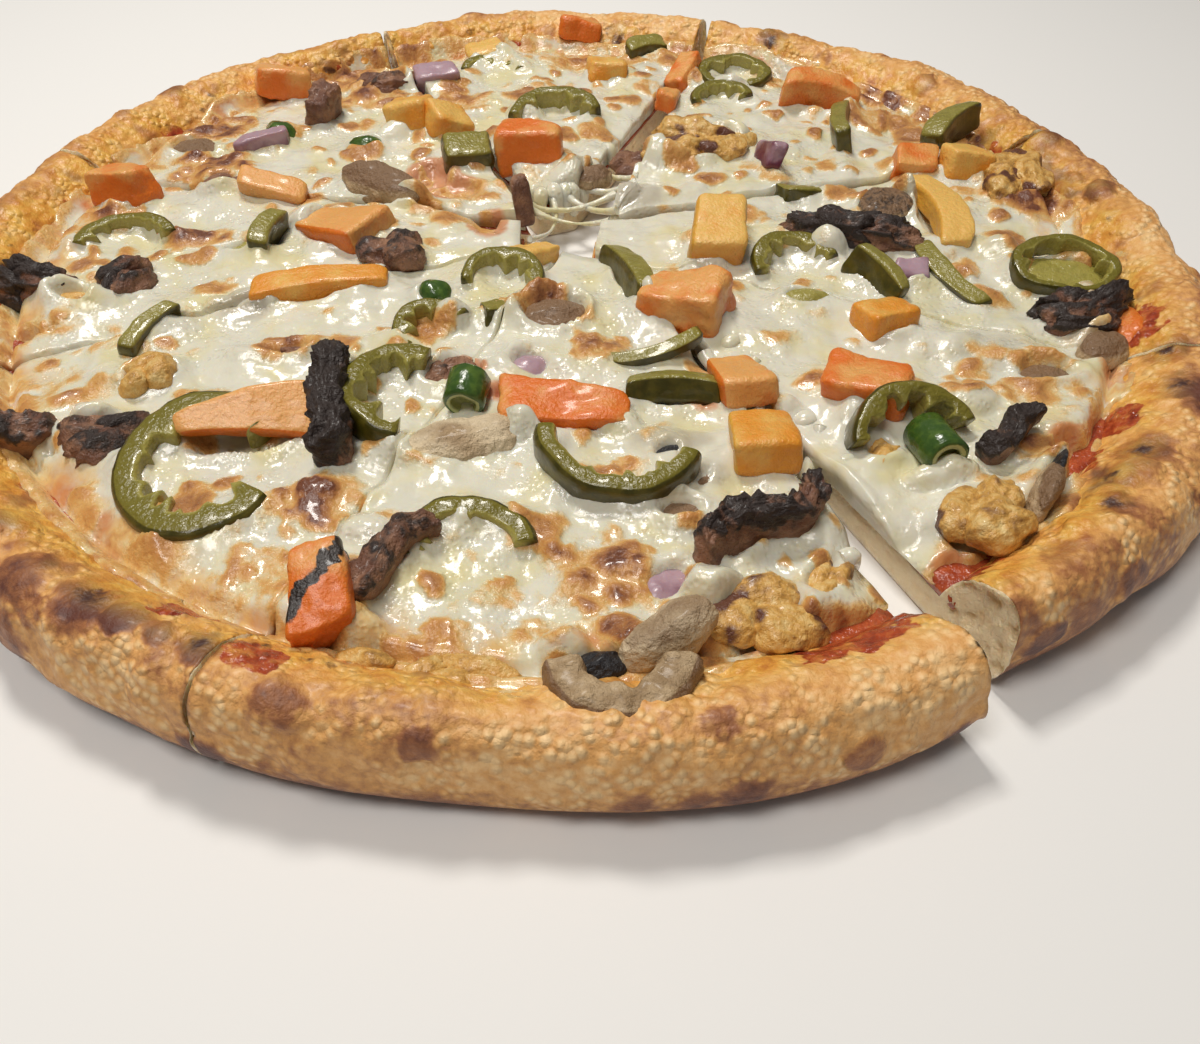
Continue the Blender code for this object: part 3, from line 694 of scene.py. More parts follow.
@dataclass(frozen=True)
class MeatFinish:
    """Roast meat: brown and fibrous, near black where it caught fire."""

    brown: Colour = (0.17, 0.070, 0.040)
    warm: Colour = (0.38, 0.19, 0.105)
    black: Colour = (0.030, 0.017, 0.013)

    def material(self) -> Material:
        """Build the meat's material."""
        graph = Graph("roast_meat")
        char = graph.mask("char")
        fibres = graph.noise(1.6, 5.0, 0.65)
        mottle = graph.noise(5.0, 3.0)
        body = graph.mix(mottle.smooth(0.35, 0.7), self.brown, self.warm)
        share = (char + (fibres - 0.5) * 0.7 + (mottle - 0.5) * 0.4).smooth(0.3, 0.6)
        colour = graph.mix(share, body, self.black)
        height = fibres + graph.noise(0.6, 3.0) * 0.5
        return graph.finish(colour, 0.42 + share * 0.1, height, 0.9, film(0.12, 0.2))


@dataclass(frozen=True)
class ChickenFinish:
    """Roast chicken: golden, orange in its creases and dark at its edges."""

    light: Colour = (0.80, 0.57, 0.23)
    gold: Colour = (0.68, 0.37, 0.085)
    dark: Colour = (0.13, 0.045, 0.025)

    def material(self) -> Material:
        """Build the chicken's material."""
        graph = Graph("chicken")
        fibres = graph.noise(2.2, 5.0, 0.6)
        colour = graph.ramp(fibres + graph.mask("char") * 0.5, (0.32, self.light),
                            (0.88, self.dark), (0.54, self.gold))
        height = fibres + graph.noise(0.8, 2.0) * 0.4
        return graph.finish(colour, 0.36, height, 0.8, film(0.2, 0.15))


@dataclass(frozen=True)
class MushroomFinish:
    """Cooked mushroom: grey-brown flesh, browner skin, black gills."""

    flesh: Colour = (0.36, 0.235, 0.120)
    skin: Colour = (0.25, 0.145, 0.075)
    gills: Colour = (0.012, 0.011, 0.014)

    def material(self) -> Material:
        """Build the mushroom's material."""
        graph = Graph("mushroom")
        mottle = graph.noise(4.0, 4.0, 0.6)
        colour = graph.mix(mottle.smooth(0.35, 0.72), self.flesh, (0.62, 0.45, 0.26))
        colour = graph.mix(graph.mask("tint").smooth(0.45, 0.0), colour, (0.76, 0.61, 0.40))
        rim = graph.uneven("skin", mottle, 0.5).smooth(0.35, 0.75)
        colour = graph.mix(rim, colour, self.skin)
        gills = graph.uneven("gills", graph.noise(1.4, 3.0), 0.5).smooth(0.4, 0.6)
        colour = graph.mix(gills, colour, self.gills)
        height = graph.noise(1.2, 4.0, 0.6) + gills * 0.3
        return graph.finish(colour, 0.44, height, 1.1, film(0.12, 0.18))


@dataclass(frozen=True)
class ChilliFinish:
    """Green chilli: bright wet skin, pale inside."""

    skin: Colour = (0.040, 0.090, 0.014)
    inside: Colour = (0.40, 0.42, 0.17)

    def material(self) -> Material:
        """Build the chilli's material."""
        graph = Graph("green_chilli")
        mottle = graph.noise(2.5, 3.0)
        skin = graph.mix(mottle.smooth(0.4, 0.7), self.skin, (0.085, 0.150, 0.022))
        inner = graph.uneven("heart", graph.noise(1.2, 3.0), 0.6)
        colour = graph.mix(inner.smooth(0.4, 0.7), skin, self.inside)
        return graph.finish(colour, 0.24, mottle, 0.4, WET)


@dataclass(frozen=True)
class OnionFinish:
    """Red onion: mauve and half clear, dark purple at its skin."""

    pale: Colour = (0.44, 0.29, 0.34)
    purple: Colour = (0.14, 0.028, 0.055)

    def material(self) -> Material:
        """Build the onion's material."""
        graph = Graph("red_onion")
        streaks = graph.noise(3.0, 3.0)
        share = graph.uneven("tint", streaks, 0.8).smooth(0.2, 0.9)
        colour = graph.mix(share, self.pale, self.purple)
        return graph.finish(colour, 0.34, streaks, 0.3, JUICY)


# The slices


@dataclass
class Slice:
    """One slice: its straight cut edges in plan, and its dough, sauce and cheese."""

    name: str
    start: tuple[float, float]
    start_angle: float
    end: tuple[float, float]
    end_angle: float
    cheese_start: tuple[float, float, float] | None = None
    cheese_end: tuple[float, float, float] | None = None
    open_start: float = 0.4
    open_end: float = 0.4

    def plan(self, across: Array, radius: Array, cheese: bool) -> Array:
        """Place shares across the slice on circles round the middle.

        Args:
            across: 0 at the start edge to 1 at the end edge.
            radius: The circle's radius, or the tip where it is not positive.
            cheese: Whether to use the melted cheese's edges.

        Returns:
            Plan coordinates, one row each.
        """
        start, start_angle = np.array(self.start), self.start_angle
        end, end_angle = np.array(self.end), self.end_angle
        if cheese and self.cheese_start:
            start, start_angle = np.array(self.cheese_start[:2]), self.cheese_start[2]
        if cheese and self.cheese_end:
            end, end_angle = np.array(self.cheese_end[:2]), self.cheese_end[2]
        root = start + (end - start) * across[:, None]
        angle = np.radians(start_angle + (end_angle - start_angle) * across)
        way = np.column_stack((np.cos(angle), np.sin(angle)))
        along = np.einsum("ij,ij->i", root, way)
        reach = -along + np.sqrt(along ** 2 + radius ** 2 - np.einsum("ij,ij->i", root, root))
        return root + way * np.where(radius > 0.0, reach, 0.0)[:, None]

    def inward(self, plan: Array, cheese: bool) -> tuple[Array, Array]:
        """Return each point's distance to the start edge and to the end edge."""
        start = (*self.start, self.start_angle)
        end = (*self.end, self.end_angle)
        if cheese:
            start = self.cheese_start or start
            end = self.cheese_end or end
        first = (plan - np.array(start[:2])) @ heading(start[2] + 90.0)
        last = (plan - np.array(end[:2])) @ heading(end[2] - 90.0)
        return np.abs(first), np.abs(last)


SLICES = (
    Slice("right_front", (21.5, -9.0), -67.0, (21.5, -9.0), -23.0,
          cheese_start=(14.5, -8.5, -65.0), open_start=1.5, open_end=0.5),
    Slice("right", (6.0, -2.0), -22.8, (8.0, 12.0), 14.0, open_end=0.7),
    Slice("upper_right", (12.0, 17.0), 13.3, (12.0, 17.0), 71.0, open_end=1.2),
    Slice("top", (3.0, 31.0), 66.0, (-7.0, 27.0), 117.0, open_start=1.0, open_end=0.6),
    Slice("upper_left", (-11.0, 22.0), 115.3, (-9.0, 16.0), 168.0),
    Slice("left", (-10.0, 12.5), 167.0, (-10.0, 2.0), 201.5),
    Slice("left_front", (-7.0, 1.8), 201.7, (-1.5, -2.5), 247.0),
    Slice("front", (0.0, -1.0), 247.0, (1.0, -1.0), 295.0,
          cheese_end=(12.0, -7.5, 292.0), open_end=1.5),
)


# Blisters on the crust: place, radius, height and darkness
BLISTERS = (
    (-59, -140, 7, 4.2, 1.2, 0.75), (-65, -132, 19, 3.0, 1.4, 0.25), (-71, -124, 20, 4, 1.4, 0.75),
    (-65, -127, 20, 3.2, 1.0, 0.6), (-91, -113, 20, 5.5, 1.6, 0.45), (-98, -99, 18, 4.5, 1.6, 0.75),
    (-95, -119, 12, 6.0, 1.0, 0.35), (-23, -147, 17, 3.6, 1.2, 0.5), (-15, -148, 18, 3, 0.8, 0.2),
    (-19, -149, 15, 2.4, 0.6, 0.25), (-45, -140, 19, 4.6, 1.8, 0.28), (-29, -147, 15, 4, 0.9, 0.15),
    (44, -147, 11, 4.2, 1.0, 0.5), (25, -151, 8, 4.2, 1.0, 0.45), (18, -152, 7, 3.0, 0.8, 0.3),
    (9, -152, 8, 3.6, 0.9, 0.4), (61, -140, 5, 3.8, 0.8, 0.65), (41, -145, 18, 1.2, 0.3, 0.8),
    (79, -126, 11, 4.4, 1.3, 0.6), (97, -115, 13, 4.6, 1.3, 0.5), (105, -93, 18, 5.0, 1.8, 0.3),
    (-112, -92, 19, 4.5, 1.4, 0.5), (140, 14, 19, 4.5, 1.8, 0.5), (135, 42, 19, 5.0, 2.0, 0.6),
    (58, 134, 19, 4.5, 1.6, 0.5), (-30, 143, 18, 4.5, 1.4, 0.5), (-118, 82, 19, 4.5, 1.6, 0.5),
    (-146, -22, 14, 4.5, 1.4, 0.5), (112, 84, 19, 4.5, 1.6, 0.5), (141, -40, 18, 3.8, 1.4, 0.5),
    (118, -96, 14, 4.0, 1.2, 0.5), (88, -106, 20, 3.5, 1.2, 0.1), (-132, -48, 19, 4.0, 1.4, 0.4),
    (88, -119, 16, 10.0, 0.5, 0.42), (103, -109, 14, 8.0, 0.5, 0.32), (72, -128, 17, 6, 0.5, 0.35),
)

# Charred spots on the rim's inner slope: place and radius
SCORCHES = (
    (125, -68, 4), (127, -76, 4.5), (110, -86, 3.5), (97, -102, 3), (-78, -119, 4.5),
    (128, -55, 3), (-58, -129, 3), (131, 20, 4), (128, 34, 5), (120, 52, 4),
    (-112, 66, 4), (20, 134, 4), (-134, -10, 3), (70, 118, 4), (101, -93, 2.5),
)


@dataclass
class Crust:
    """The dough of every slice, with its rim's relief and its open cut faces."""

    noise: Noise = field(default_factory=lambda: Noise(11))
    spacing: float = 0.74
    section_rows: int = 74
    upper_rows: int = 54
    face_rows: int = 14

    def relief(self, places: Array, section_normal: Array) -> Array:
        """Raise humps and blisters on the rim.

        Args:
            places: Points on the smooth rim.
            section_normal: The surface's outward direction at each point.

        Returns:
            The moved points.
        """
        x, y, z = places.T
        noise = self.noise
        lift = 1.2 * noise.wave(places, 13.0) + 1.2 * noise.wave(places, 28.0)
        lift += 0.55 * noise.wave(places, 6.0)
        crowd = smooth(noise.wave(places + 200.0, 14.0), -0.5, 0.2)
        bent = noise.warp(places, 3.5, 1.3)
        fine = 0.75 * noise.domes(bent, 3.6, 0.60) ** 1.5 * (0.5 + 0.5 * crowd)
        fine += 0.50 * noise.domes(bent + 90.0, 2.2, 0.60) ** 1.5 + 0.25 * noise.hills(bent, 2.6, 2)
        lift += 0.9 * noise.domes(places + 300.0, 17.0, 0.18)
        for *spot, size, height, _ in BLISTERS:
            away = np.linalg.norm(bent - np.array(spot), axis=1) / (1.1 * size)
            lift += 1.2 * height * np.clip(1.0 - away ** 2, 0.0, 1.0) ** 0.6
            fine *= 1.0 - 0.7 * smooth(away, 1.1, 0.8)
        lift += fine
        level = smooth(z, FLOOR_Z - 5.5, FLOOR_Z + 3.5)
        level *= smooth(np.hypot(x, y), RIM_FOOT, RIM_FOOT + 4.0)
        return places + section_normal * (0.75 * lift * level - 0.35)[:, None]

    def rim(self, part: Slice, columns: int) -> Array:
        """Return the rim's surface as an array of rows by columns of points."""
        section = rim_section(self.section_rows + 1)
        across = np.tile(np.linspace(0.0, 1.0, columns + 1), self.section_rows + 1)
        share = np.repeat(section[:, 0], columns + 1)
        height = np.repeat(section[:, 1], columns + 1)
        plan = part.plan(across, np.full(len(across), RIM_FOOT), False)
        for _ in range(3):
            angle = np.degrees(np.arctan2(plan[:, 1], plan[:, 0]))
            radius = RIM_FOOT + share * (reach_at(angle) - RIM_FOOT)
            plan = part.plan(across, radius, False)
        slope = np.gradient(section, axis=0) * np.array((RIM_WIDTH, 1.0))
        normal = np.column_stack((-slope[:, 1], slope[:, 0])) / np.hypot(*slope.T)[:, None]
        normal = np.repeat(normal, columns + 1, axis=0)
        out = plan / np.linalg.norm(plan, axis=1)[:, None]
        outward = np.column_stack((out * normal[:, :1], normal[:, 1]))
        places = self.relief(np.column_stack((plan, height)), outward)
        places[:, 2] = np.maximum(places[:, 2], 0.0)
        shift = places[:, :2] - plan
        for edge, angle in ((across == 0.0, part.start_angle), (across == 1.0, part.end_angle)):
            way = heading(angle)
            places[edge, :2] = plan[edge] + (shift[edge] @ way)[:, None] * way
        return places.reshape(self.section_rows + 1, columns + 1, 3)

    def cut_band(self, part: Slice, rim: Array) -> tuple[Array, Array]:
        """Return the lower and upper border of the cut face, round the slice's tip."""
        upper_count = self.upper_rows
        flat_count = upper_count - (self.section_rows - upper_count)

        def rim_part(column: int) -> tuple[Array, Array]:
            """Return the lower and upper border of one end of the rim."""
            upper = rim[: upper_count + 1, column]
            under = rim[upper_count:, column][::-1]
            foot = rim[0, column] * np.array((1.0, 1.0, 0.0))
            share = np.linspace(0.0, 1.0, flat_count + 1)[:-1, None]
            flat = foot + (under[0] - foot) * share
            return np.vstack((flat, under)), upper

        def floor_part(foot: Array, tip: Array) -> Array:
            """Return points from the tip to the rim's foot, both left out."""
            count = max(2, round(float(np.linalg.norm(foot - tip)) / 1.1))
            share = np.linspace(0.0, 1.0, count + 1)[:-1, None]
            return tip + (foot - tip) * share

        start, end = np.array(part.start), np.array(part.end)
        lower_start, upper_start = rim_part(0)
        lower_end, upper_end = rim_part(-1)
        leg_start = floor_part(rim[0, 0, :2], start)[::-1]
        leg_end = floor_part(rim[0, -1, :2], end)
        if np.linalg.norm(end - start) > 0.5:
            tip = floor_part(end, start)[1:]
            path = np.vstack((leg_start, tip, leg_end))
        else:
            path = np.vstack((leg_start, leg_end[1:]))
        zeros = np.zeros(len(path))
        lower = np.vstack((lower_start[::-1], np.column_stack((path, zeros)), lower_end))
        upper = np.vstack((upper_start[::-1], np.column_stack((path, zeros + FLOOR_Z)), upper_end))
        return lower, upper

    def cut_face(self, part: Slice, rim: Array) -> Mesh:
        """Make the slice's cut face, with the crumb's holes sunk into it."""
        lower, upper = self.cut_band(part, rim)
        columns = len(lower) - 1
        mesh, across, along = grid_mesh(columns, self.face_rows)
        index = np.rint(across * columns).astype(int)
        places = lower[index] + (upper[index] - lower[index]) * along[:, None]
        tangent = np.gradient(0.5 * (lower + upper)[:, :2], axis=0)
        tangent /= np.maximum(np.linalg.norm(tangent, axis=1), 1e-9)[:, None]
        outward = np.column_stack((tangent[:, 1], -tangent[:, 0]))[index]
        middle = part.plan(np.array([0.5]), np.array([90.0]), False)[0]
        side = np.sign(np.einsum("ij,ij->i", outward, places[:, :2] - middle))
        outward *= np.where(side == 0.0, 1.0, side)[:, None]
        inside = smooth(along, 0.0, 0.12) * smooth(along, 1.0, 0.88)
        tall = smooth((upper - lower)[index, 2], 2.0, 6.0)
        holes = self.noise.domes(places * np.array((1, 1, 1.6)), 3.4, 0.42)
        thick = smooth((upper - lower)[index, 2], 7.0, 14.0)
        holes = holes * (0.35 + 0.65 * thick)
        depth = 1.4 * holes + (0.4 + 0.9 * thick) * self.noise.hills(places, 6.0, 3) + 0.5 * thick
        depth = depth * inside * tall
        places[:, :2] -= outward * np.clip(depth, -0.2, 2.6)[:, None]
        write_places(mesh, places)
        # The holes mask darkens the crumb's hollows in its finish: painted shade.
        write_mask(mesh, "holes", holes * inside)
        write_mask(mesh, "low", 1.0 - smooth(along, 0.0, 0.14))
        for polygon in mesh.polygons:
            polygon.material_index = 1
        return mesh

    def paint(self, mesh: Mesh) -> None:
        """Keep how far each place of the crust is baked, oiled and charred; the bake mask also
        holds painted shade on the rim's lower outer side.
        """
        places = read_places(mesh)
        x, y, z = places.T
        radius = np.hypot(x, y)
        noise = self.noise
        bake = 0.33 + 0.15 * noise.hills(places, 34.0, 2)
        # Painted shade: the rim's outer side darkens towards its foot, as if shaded from above.
        bake += 0.45 * smooth(z, 12.0, 0.0) * smooth(radius, RIM_MIDDLE, RIM_MIDDLE + 7.0)
        # Darker on the rim's crest, towards the left and towards the far right.
        bake += 0.08 * smooth(z, 17.5, 21.0) + 0.10 * smooth(x, 20.0, -120.0)
        bake += 0.16 * smooth(x, 120.0, 150.0)
        bake += 0.22 * smooth(noise.domes(places + 300.0, 17.0, 0.18), 0.1, 0.45)
        ragged = 0.22 * noise.hills(places, 3.0, 2)
        bent = noise.warp(places, 3.5, 1.3)
        for *spot, size, _, dark in BLISTERS:
            away = np.linalg.norm(bent - np.array(spot), axis=1) / size
            bake += 0.78 * dark * smooth(away + 0.5 * ragged, 1.15, 0.65)
        inner = smooth(radius, RIM_MIDDLE + 6.0, RIM_MIDDLE - 4.0) * smooth(z, 5.0, 8.0)
        oil = inner * (0.85 + 0.6 * noise.hills(places, 12.0, 3))
        char = np.zeros(len(places))
        for spot_x, spot_y, size in SCORCHES:
            away = np.hypot(x - spot_x, y - spot_y) / size
            char = np.maximum(char, np.clip(1.0 - 0.75 * away, 0.0, 1.0))
            bake += 0.45 * smooth(away + ragged, 1.8, 0.9)
        crisp = inner * smooth(noise.hills(places + 60.0, 8.0, 3), 0.25, 0.8)
        bake += 0.35 * crisp
        char = np.maximum(char, 0.7 * inner * smooth(noise.hills(places, 7.0, 2), 0.6, 0.95))
        red = smooth(radius, RIM_FOOT + 8.0, RIM_FOOT + 1.0)
        red *= smooth(noise.hills(places + 120.0, 9.0, 3), 0.2, 0.6)
        for row in BARE:
            red = np.maximum(red, smooth(blob(x, y, row) + 4.0 * ragged, 1.8, 0.6))
        # The bake mask carries the browning together with the painted shade at the rim's foot.
        write_mask(mesh, "bake", np.clip(bake, 0.0, 1.2))
        write_mask(mesh, "oil", np.clip(oil, 0.0, 1.0) * (1.0 - 0.6 * np.clip(crisp, 0.0, 1.0)))
        write_mask(mesh, "red", red * smooth(z, 5.0, 8.0))
        write_mask(mesh, "char", char)

    def build(self, part: Slice, materials: list[Material]) -> bpy.types.Object:
        """Make one slice's dough as one closed piece.

        Args:
            part: The slice.
            materials: The crust's and the crumb's finishes.

        Returns:
            The piece.
        """
        arc = math.radians(abs(part.end_angle - part.start_angle)) * RIM_MIDDLE
        columns = round(arc / self.spacing)
        rim = self.rim(part, columns)
        mesh, across, along = grid_mesh(columns, self.section_rows)
        column = np.rint(across * columns).astype(int)
        row = np.rint(along * self.section_rows).astype(int)
        write_places(mesh, rim[row, column])
        face = self.cut_face(part, rim)
        bm = bmesh.new()
        bm.from_mesh(mesh)
        bm.from_mesh(face)
        bmesh.ops.remove_doubles(bm, verts=bm.verts, dist=0.01)
        bmesh.ops.dissolve_degenerate(bm, dist=0.005, edges=bm.edges)
        bmesh.ops.holes_fill(bm, edges=bm.edges, sides=0)
        bmesh.ops.recalc_face_normals(bm, faces=bm.faces)
        bm.to_mesh(mesh)
        bm.free()
        self.paint(mesh)
        mesh.shade_smooth()
        return make_piece("crust_" + part.name, mesh, materials, ("dough_" + part.name,))


# The cheese and the sauce

# Browned patches on the cheese: place, half length, half width, turn and strength
BROWNED = (
    (-47, -91, 9, 5.5, 10, 1.0), (-57, -106, 5, 4, 0, 0.8), (-93, -91, 5, 4, 0, 0.6),
    (-77, -104, 4, 3, 0, 0.6), (-108, -60, 6, 4, 20, 0.7), (-61, -114, 4, 3, 0, 0.6),
    (-62, -43, 8, 3.5, 8, 0.9), (6, -111, 10, 8, 10, 1.0), (30, -103, 6, 4, 30, 0.8),
    (-12, -114, 4, 3, 0, 0.6), (-1, -116, 4, 3, 0, 0.6), (-5, -124, 5, 3, 0, 0.6),
    (-3, -130, 4, 2.5, 0, 0.7), (8, -124, 3.5, 3, 0, 0.8), (10, -84, 3.5, 3.2, 0, 0.8),
    (6, -45, 6, 5, 20, 0.9), (-8, -28, 7, 4, 20, 0.8), (83, -62, 5, 4, 20, 0.8),
    (95, -63, 4.5, 4, 0, 0.8), (88, -55, 4, 3, 0, 0.6), (93, -82, 4, 4, 0, 0.8),
    (100, -52, 4, 3, 0, 0.6), (108, -66, 4, 3, 0, 0.6), (125, 24, 13, 10, 70, 1.0),
    (118, 46, 12, 8, 60, 1.0), (112, 24, 6, 4, 0, 0.5), (103, 88, 11, 8, 30, 1.0),
    (75, 22, 5, 4, 0, 0.6), (-92, 6, 7, 4.5, 10, 0.9), (-90, -3, 5, 3.5, 0, 0.7),
    (-118, 14, 9, 6, 0, 0.9), (-116, -32, 6, 4, 0, 0.6), (-98, 44, 10, 7, 0, 1.0),
    (-60, 88, 11, 8, 0, 0.9), (-70, 105, 10, 7, 0, 0.9), (-104, 70, 11, 8, 0, 1.0),
    (-30, 88, 9, 6, 0, 0.8), (-8, 98, 6, 4, 0, 0.6), (4, 118, 10, 7, 0, 0.8),
    (-20, 128, 6, 4, 0, 0.6), (28, 95, 5, 4, 0, 0.6), (68, 98, 5, 4, 0, 0.6),
    (92, 70, 9, 6, 0, 0.9), (40, 118, 9, 6, 0, 0.8), (-110, -86, 6, 4, 0, 0.6),
    (-84, -18, 5, 3, 0, 0.6), (-30, -84, 4, 3, 0, 0.5), (48, -42, 4, 3, 0, 0.5),
    (-76, -60, 6, 4, 0, 0.5), (100, 14, 5, 4, 0, 0.5), (52, -4, 4, 3, 0, 0.4),
    (-36, 22, 6, 4, 0, 0.6), (-24, 30, 8, 5, 10, 0.6), (-100, -38, 5, 4, 0, 0.5),
)

# Things under the cheese that lift it and darken it: place, half sizes, turn, lift, grey
MOUNDS = (
    (20, -77, 10, 5, 0, 1.6, 0.9), (25, -87, 7, 4, 0, 1.0, 0.7), (93, -47, 12, 8, 20, 1.4, 0.6),
    (-4, -31, 11, 8, 12, 2.2, 0.7), (110, 60, 10, 7, 0, 1.6, 0.4), (64, 8, 9, 6, 0, 1.4, 0.5),
    (20, 24, 9, 6, 20, 1.4, 0.8), (-75, -26, 9, 6, 0, 1.4, 0.8), (8, 38, 8, 6, 0, 1.5, 0.9),
    (48, 100, 9, 6, 0, 1.6, 0.6), (-92, 32, 9, 6, 0, 1.5, 0.5), (-105, 55, 9, 6, 0, 1.5, 0.5),
    (-55, 100, 9, 7, 0, 1.6, 0.3), (120, -48, 9, 6, 0, 1.3, 0.7), (104, -6, 8, 5, 0, 1.2, 0.5),
    (84, -44, 9, 6, 0, 1.2, 0.3), (-60, -92, 9, 6, 0, 1.0, 0.2), (40, 68, 10, 7, 0, 1.4, 0.4),
    (-14, 60, 8, 6, 0, 1.2, 0.4), (12, 92, 9, 6, 0, 1.3, 0.4), (-40, -42, 8, 6, 0, 1.2, 0.4),
    (-88, -34, 9, 5, 60, 1.6, 0.5), (46, -100, 7, 5, 40, 1.4, 0.3), (88, 16, 9, 8, 0, 1.6, 0.8),
)

# Cheese that has run over a topping: place, half sizes, turn and lift
LAPS = (
    (22, -27, 6, 5, 0, 4.5), (34, -11, 6, 4, 0, 3.0), (-11, -72, 5, 4, 0, 3.5),
    (10, -71, 5, 4, 0, 3.0), (71, -88, 8, 3.2, 10, 4.0), (-2, -127, 5, 4, 0, 4.5),
    (-66, 13, 6, 5, 0, 3.5), (-72, -22, 7, 4, 10, 2.4), (-41, 24, 6, 5, 0, 4.0),
    (-15, 52, 5, 4, 0, 4.5), (29, 46, 8, 6, 0, 6.0), (48, 57, 7, 5, 0, 5.0),
    (-11, 77, 6, 4, 0, 4.0), (-113, -11, 6, 4, 0, 2.2), (65, -6, 5, 4, 0, 4.0),
    (24, -116, 6, 5, 0, 4.5), (-36, -122, 5, 4, 0, 4.0), (1, 34, 8, 5, 0, 4.0),
    (14, 24, 7, 5, 20, 3.0), (-20, 62, 7, 5, 0, 3.0), (-96, -66, 5, 4, 0, 3.5),
    (44, -66, 4, 3, 0, 2.0), (-26, -33, 5, 4, 0, 3.0), (-8, -24, 6, 4, 0, 3.0),
    (52, -92, 16, 4.5, -62, 1.6), (84, -66, 6, 4, 20, 2.5), (96, -88, 5, 4, 0, 2.5),
    (108, -8, 5, 4, 0, 2.0),
    (-38, -98, 5, 4, 0, 2.5), (92, 20, 5, 4, 0, 3.5), (-50, 64, 5, 4, 0, 3.0),
)

# Where the cheese has stayed white: place, half sizes and turn
CLEAN = (
    (54, -92, 17, 6, -62), (-52, -78, 10, 6, 10), (-26, -90, 12, 6, -15), (2, -92, 12, 5, 0),
    (52, -50, 12, 6, 20), (72, -50, 8, 5, 0), (-44, -30, 9, 5, 0), (66, -68, 7, 4, 0),
)

# Where the sauce shows: place, half sizes, turn and depth
BARE = (
    (46, -127, 10, 5, 28, 6.0), (-50, -131, 5, 3.5, -30, 5.0), (-65, -119, 3.5, 3, 0, 4.0),
    (67, -112, 6, 4, 40, 5.0), (100, -81, 6, 4, 30, 4.0), (127, -41, 5, 7, 0, 5.0),
    (-37, 40, 6, 7, 0, 4.0), (-22, -52, 3.5, 3, 0, 5.0), (-12, -60, 4, 3, 0, 3.0),
    (112, -72, 5, 4, 30, 4.0), (-30, 32, 7, 5, 0, 3.0), (58, -120, 5, 4, 30, 5.0),
    (28, -60, 3, 6, 0, 3.0), (-20, 12, 4, 6, 0, 3.0),
)


def blob(x: Array, y: Array, row: tuple[float, ...]) -> Array:
    """Return an oval's squared distance, 1 on its edge, for a row of place, sizes and turn."""
    angle = math.radians(row[4])
    along = (x - row[0]) * math.cos(angle) + (y - row[1]) * math.sin(angle)
    beside = (y - row[1]) * math.cos(angle) - (x - row[0]) * math.sin(angle)
    return (along / row[2]) ** 2 + (beside / row[3]) ** 2


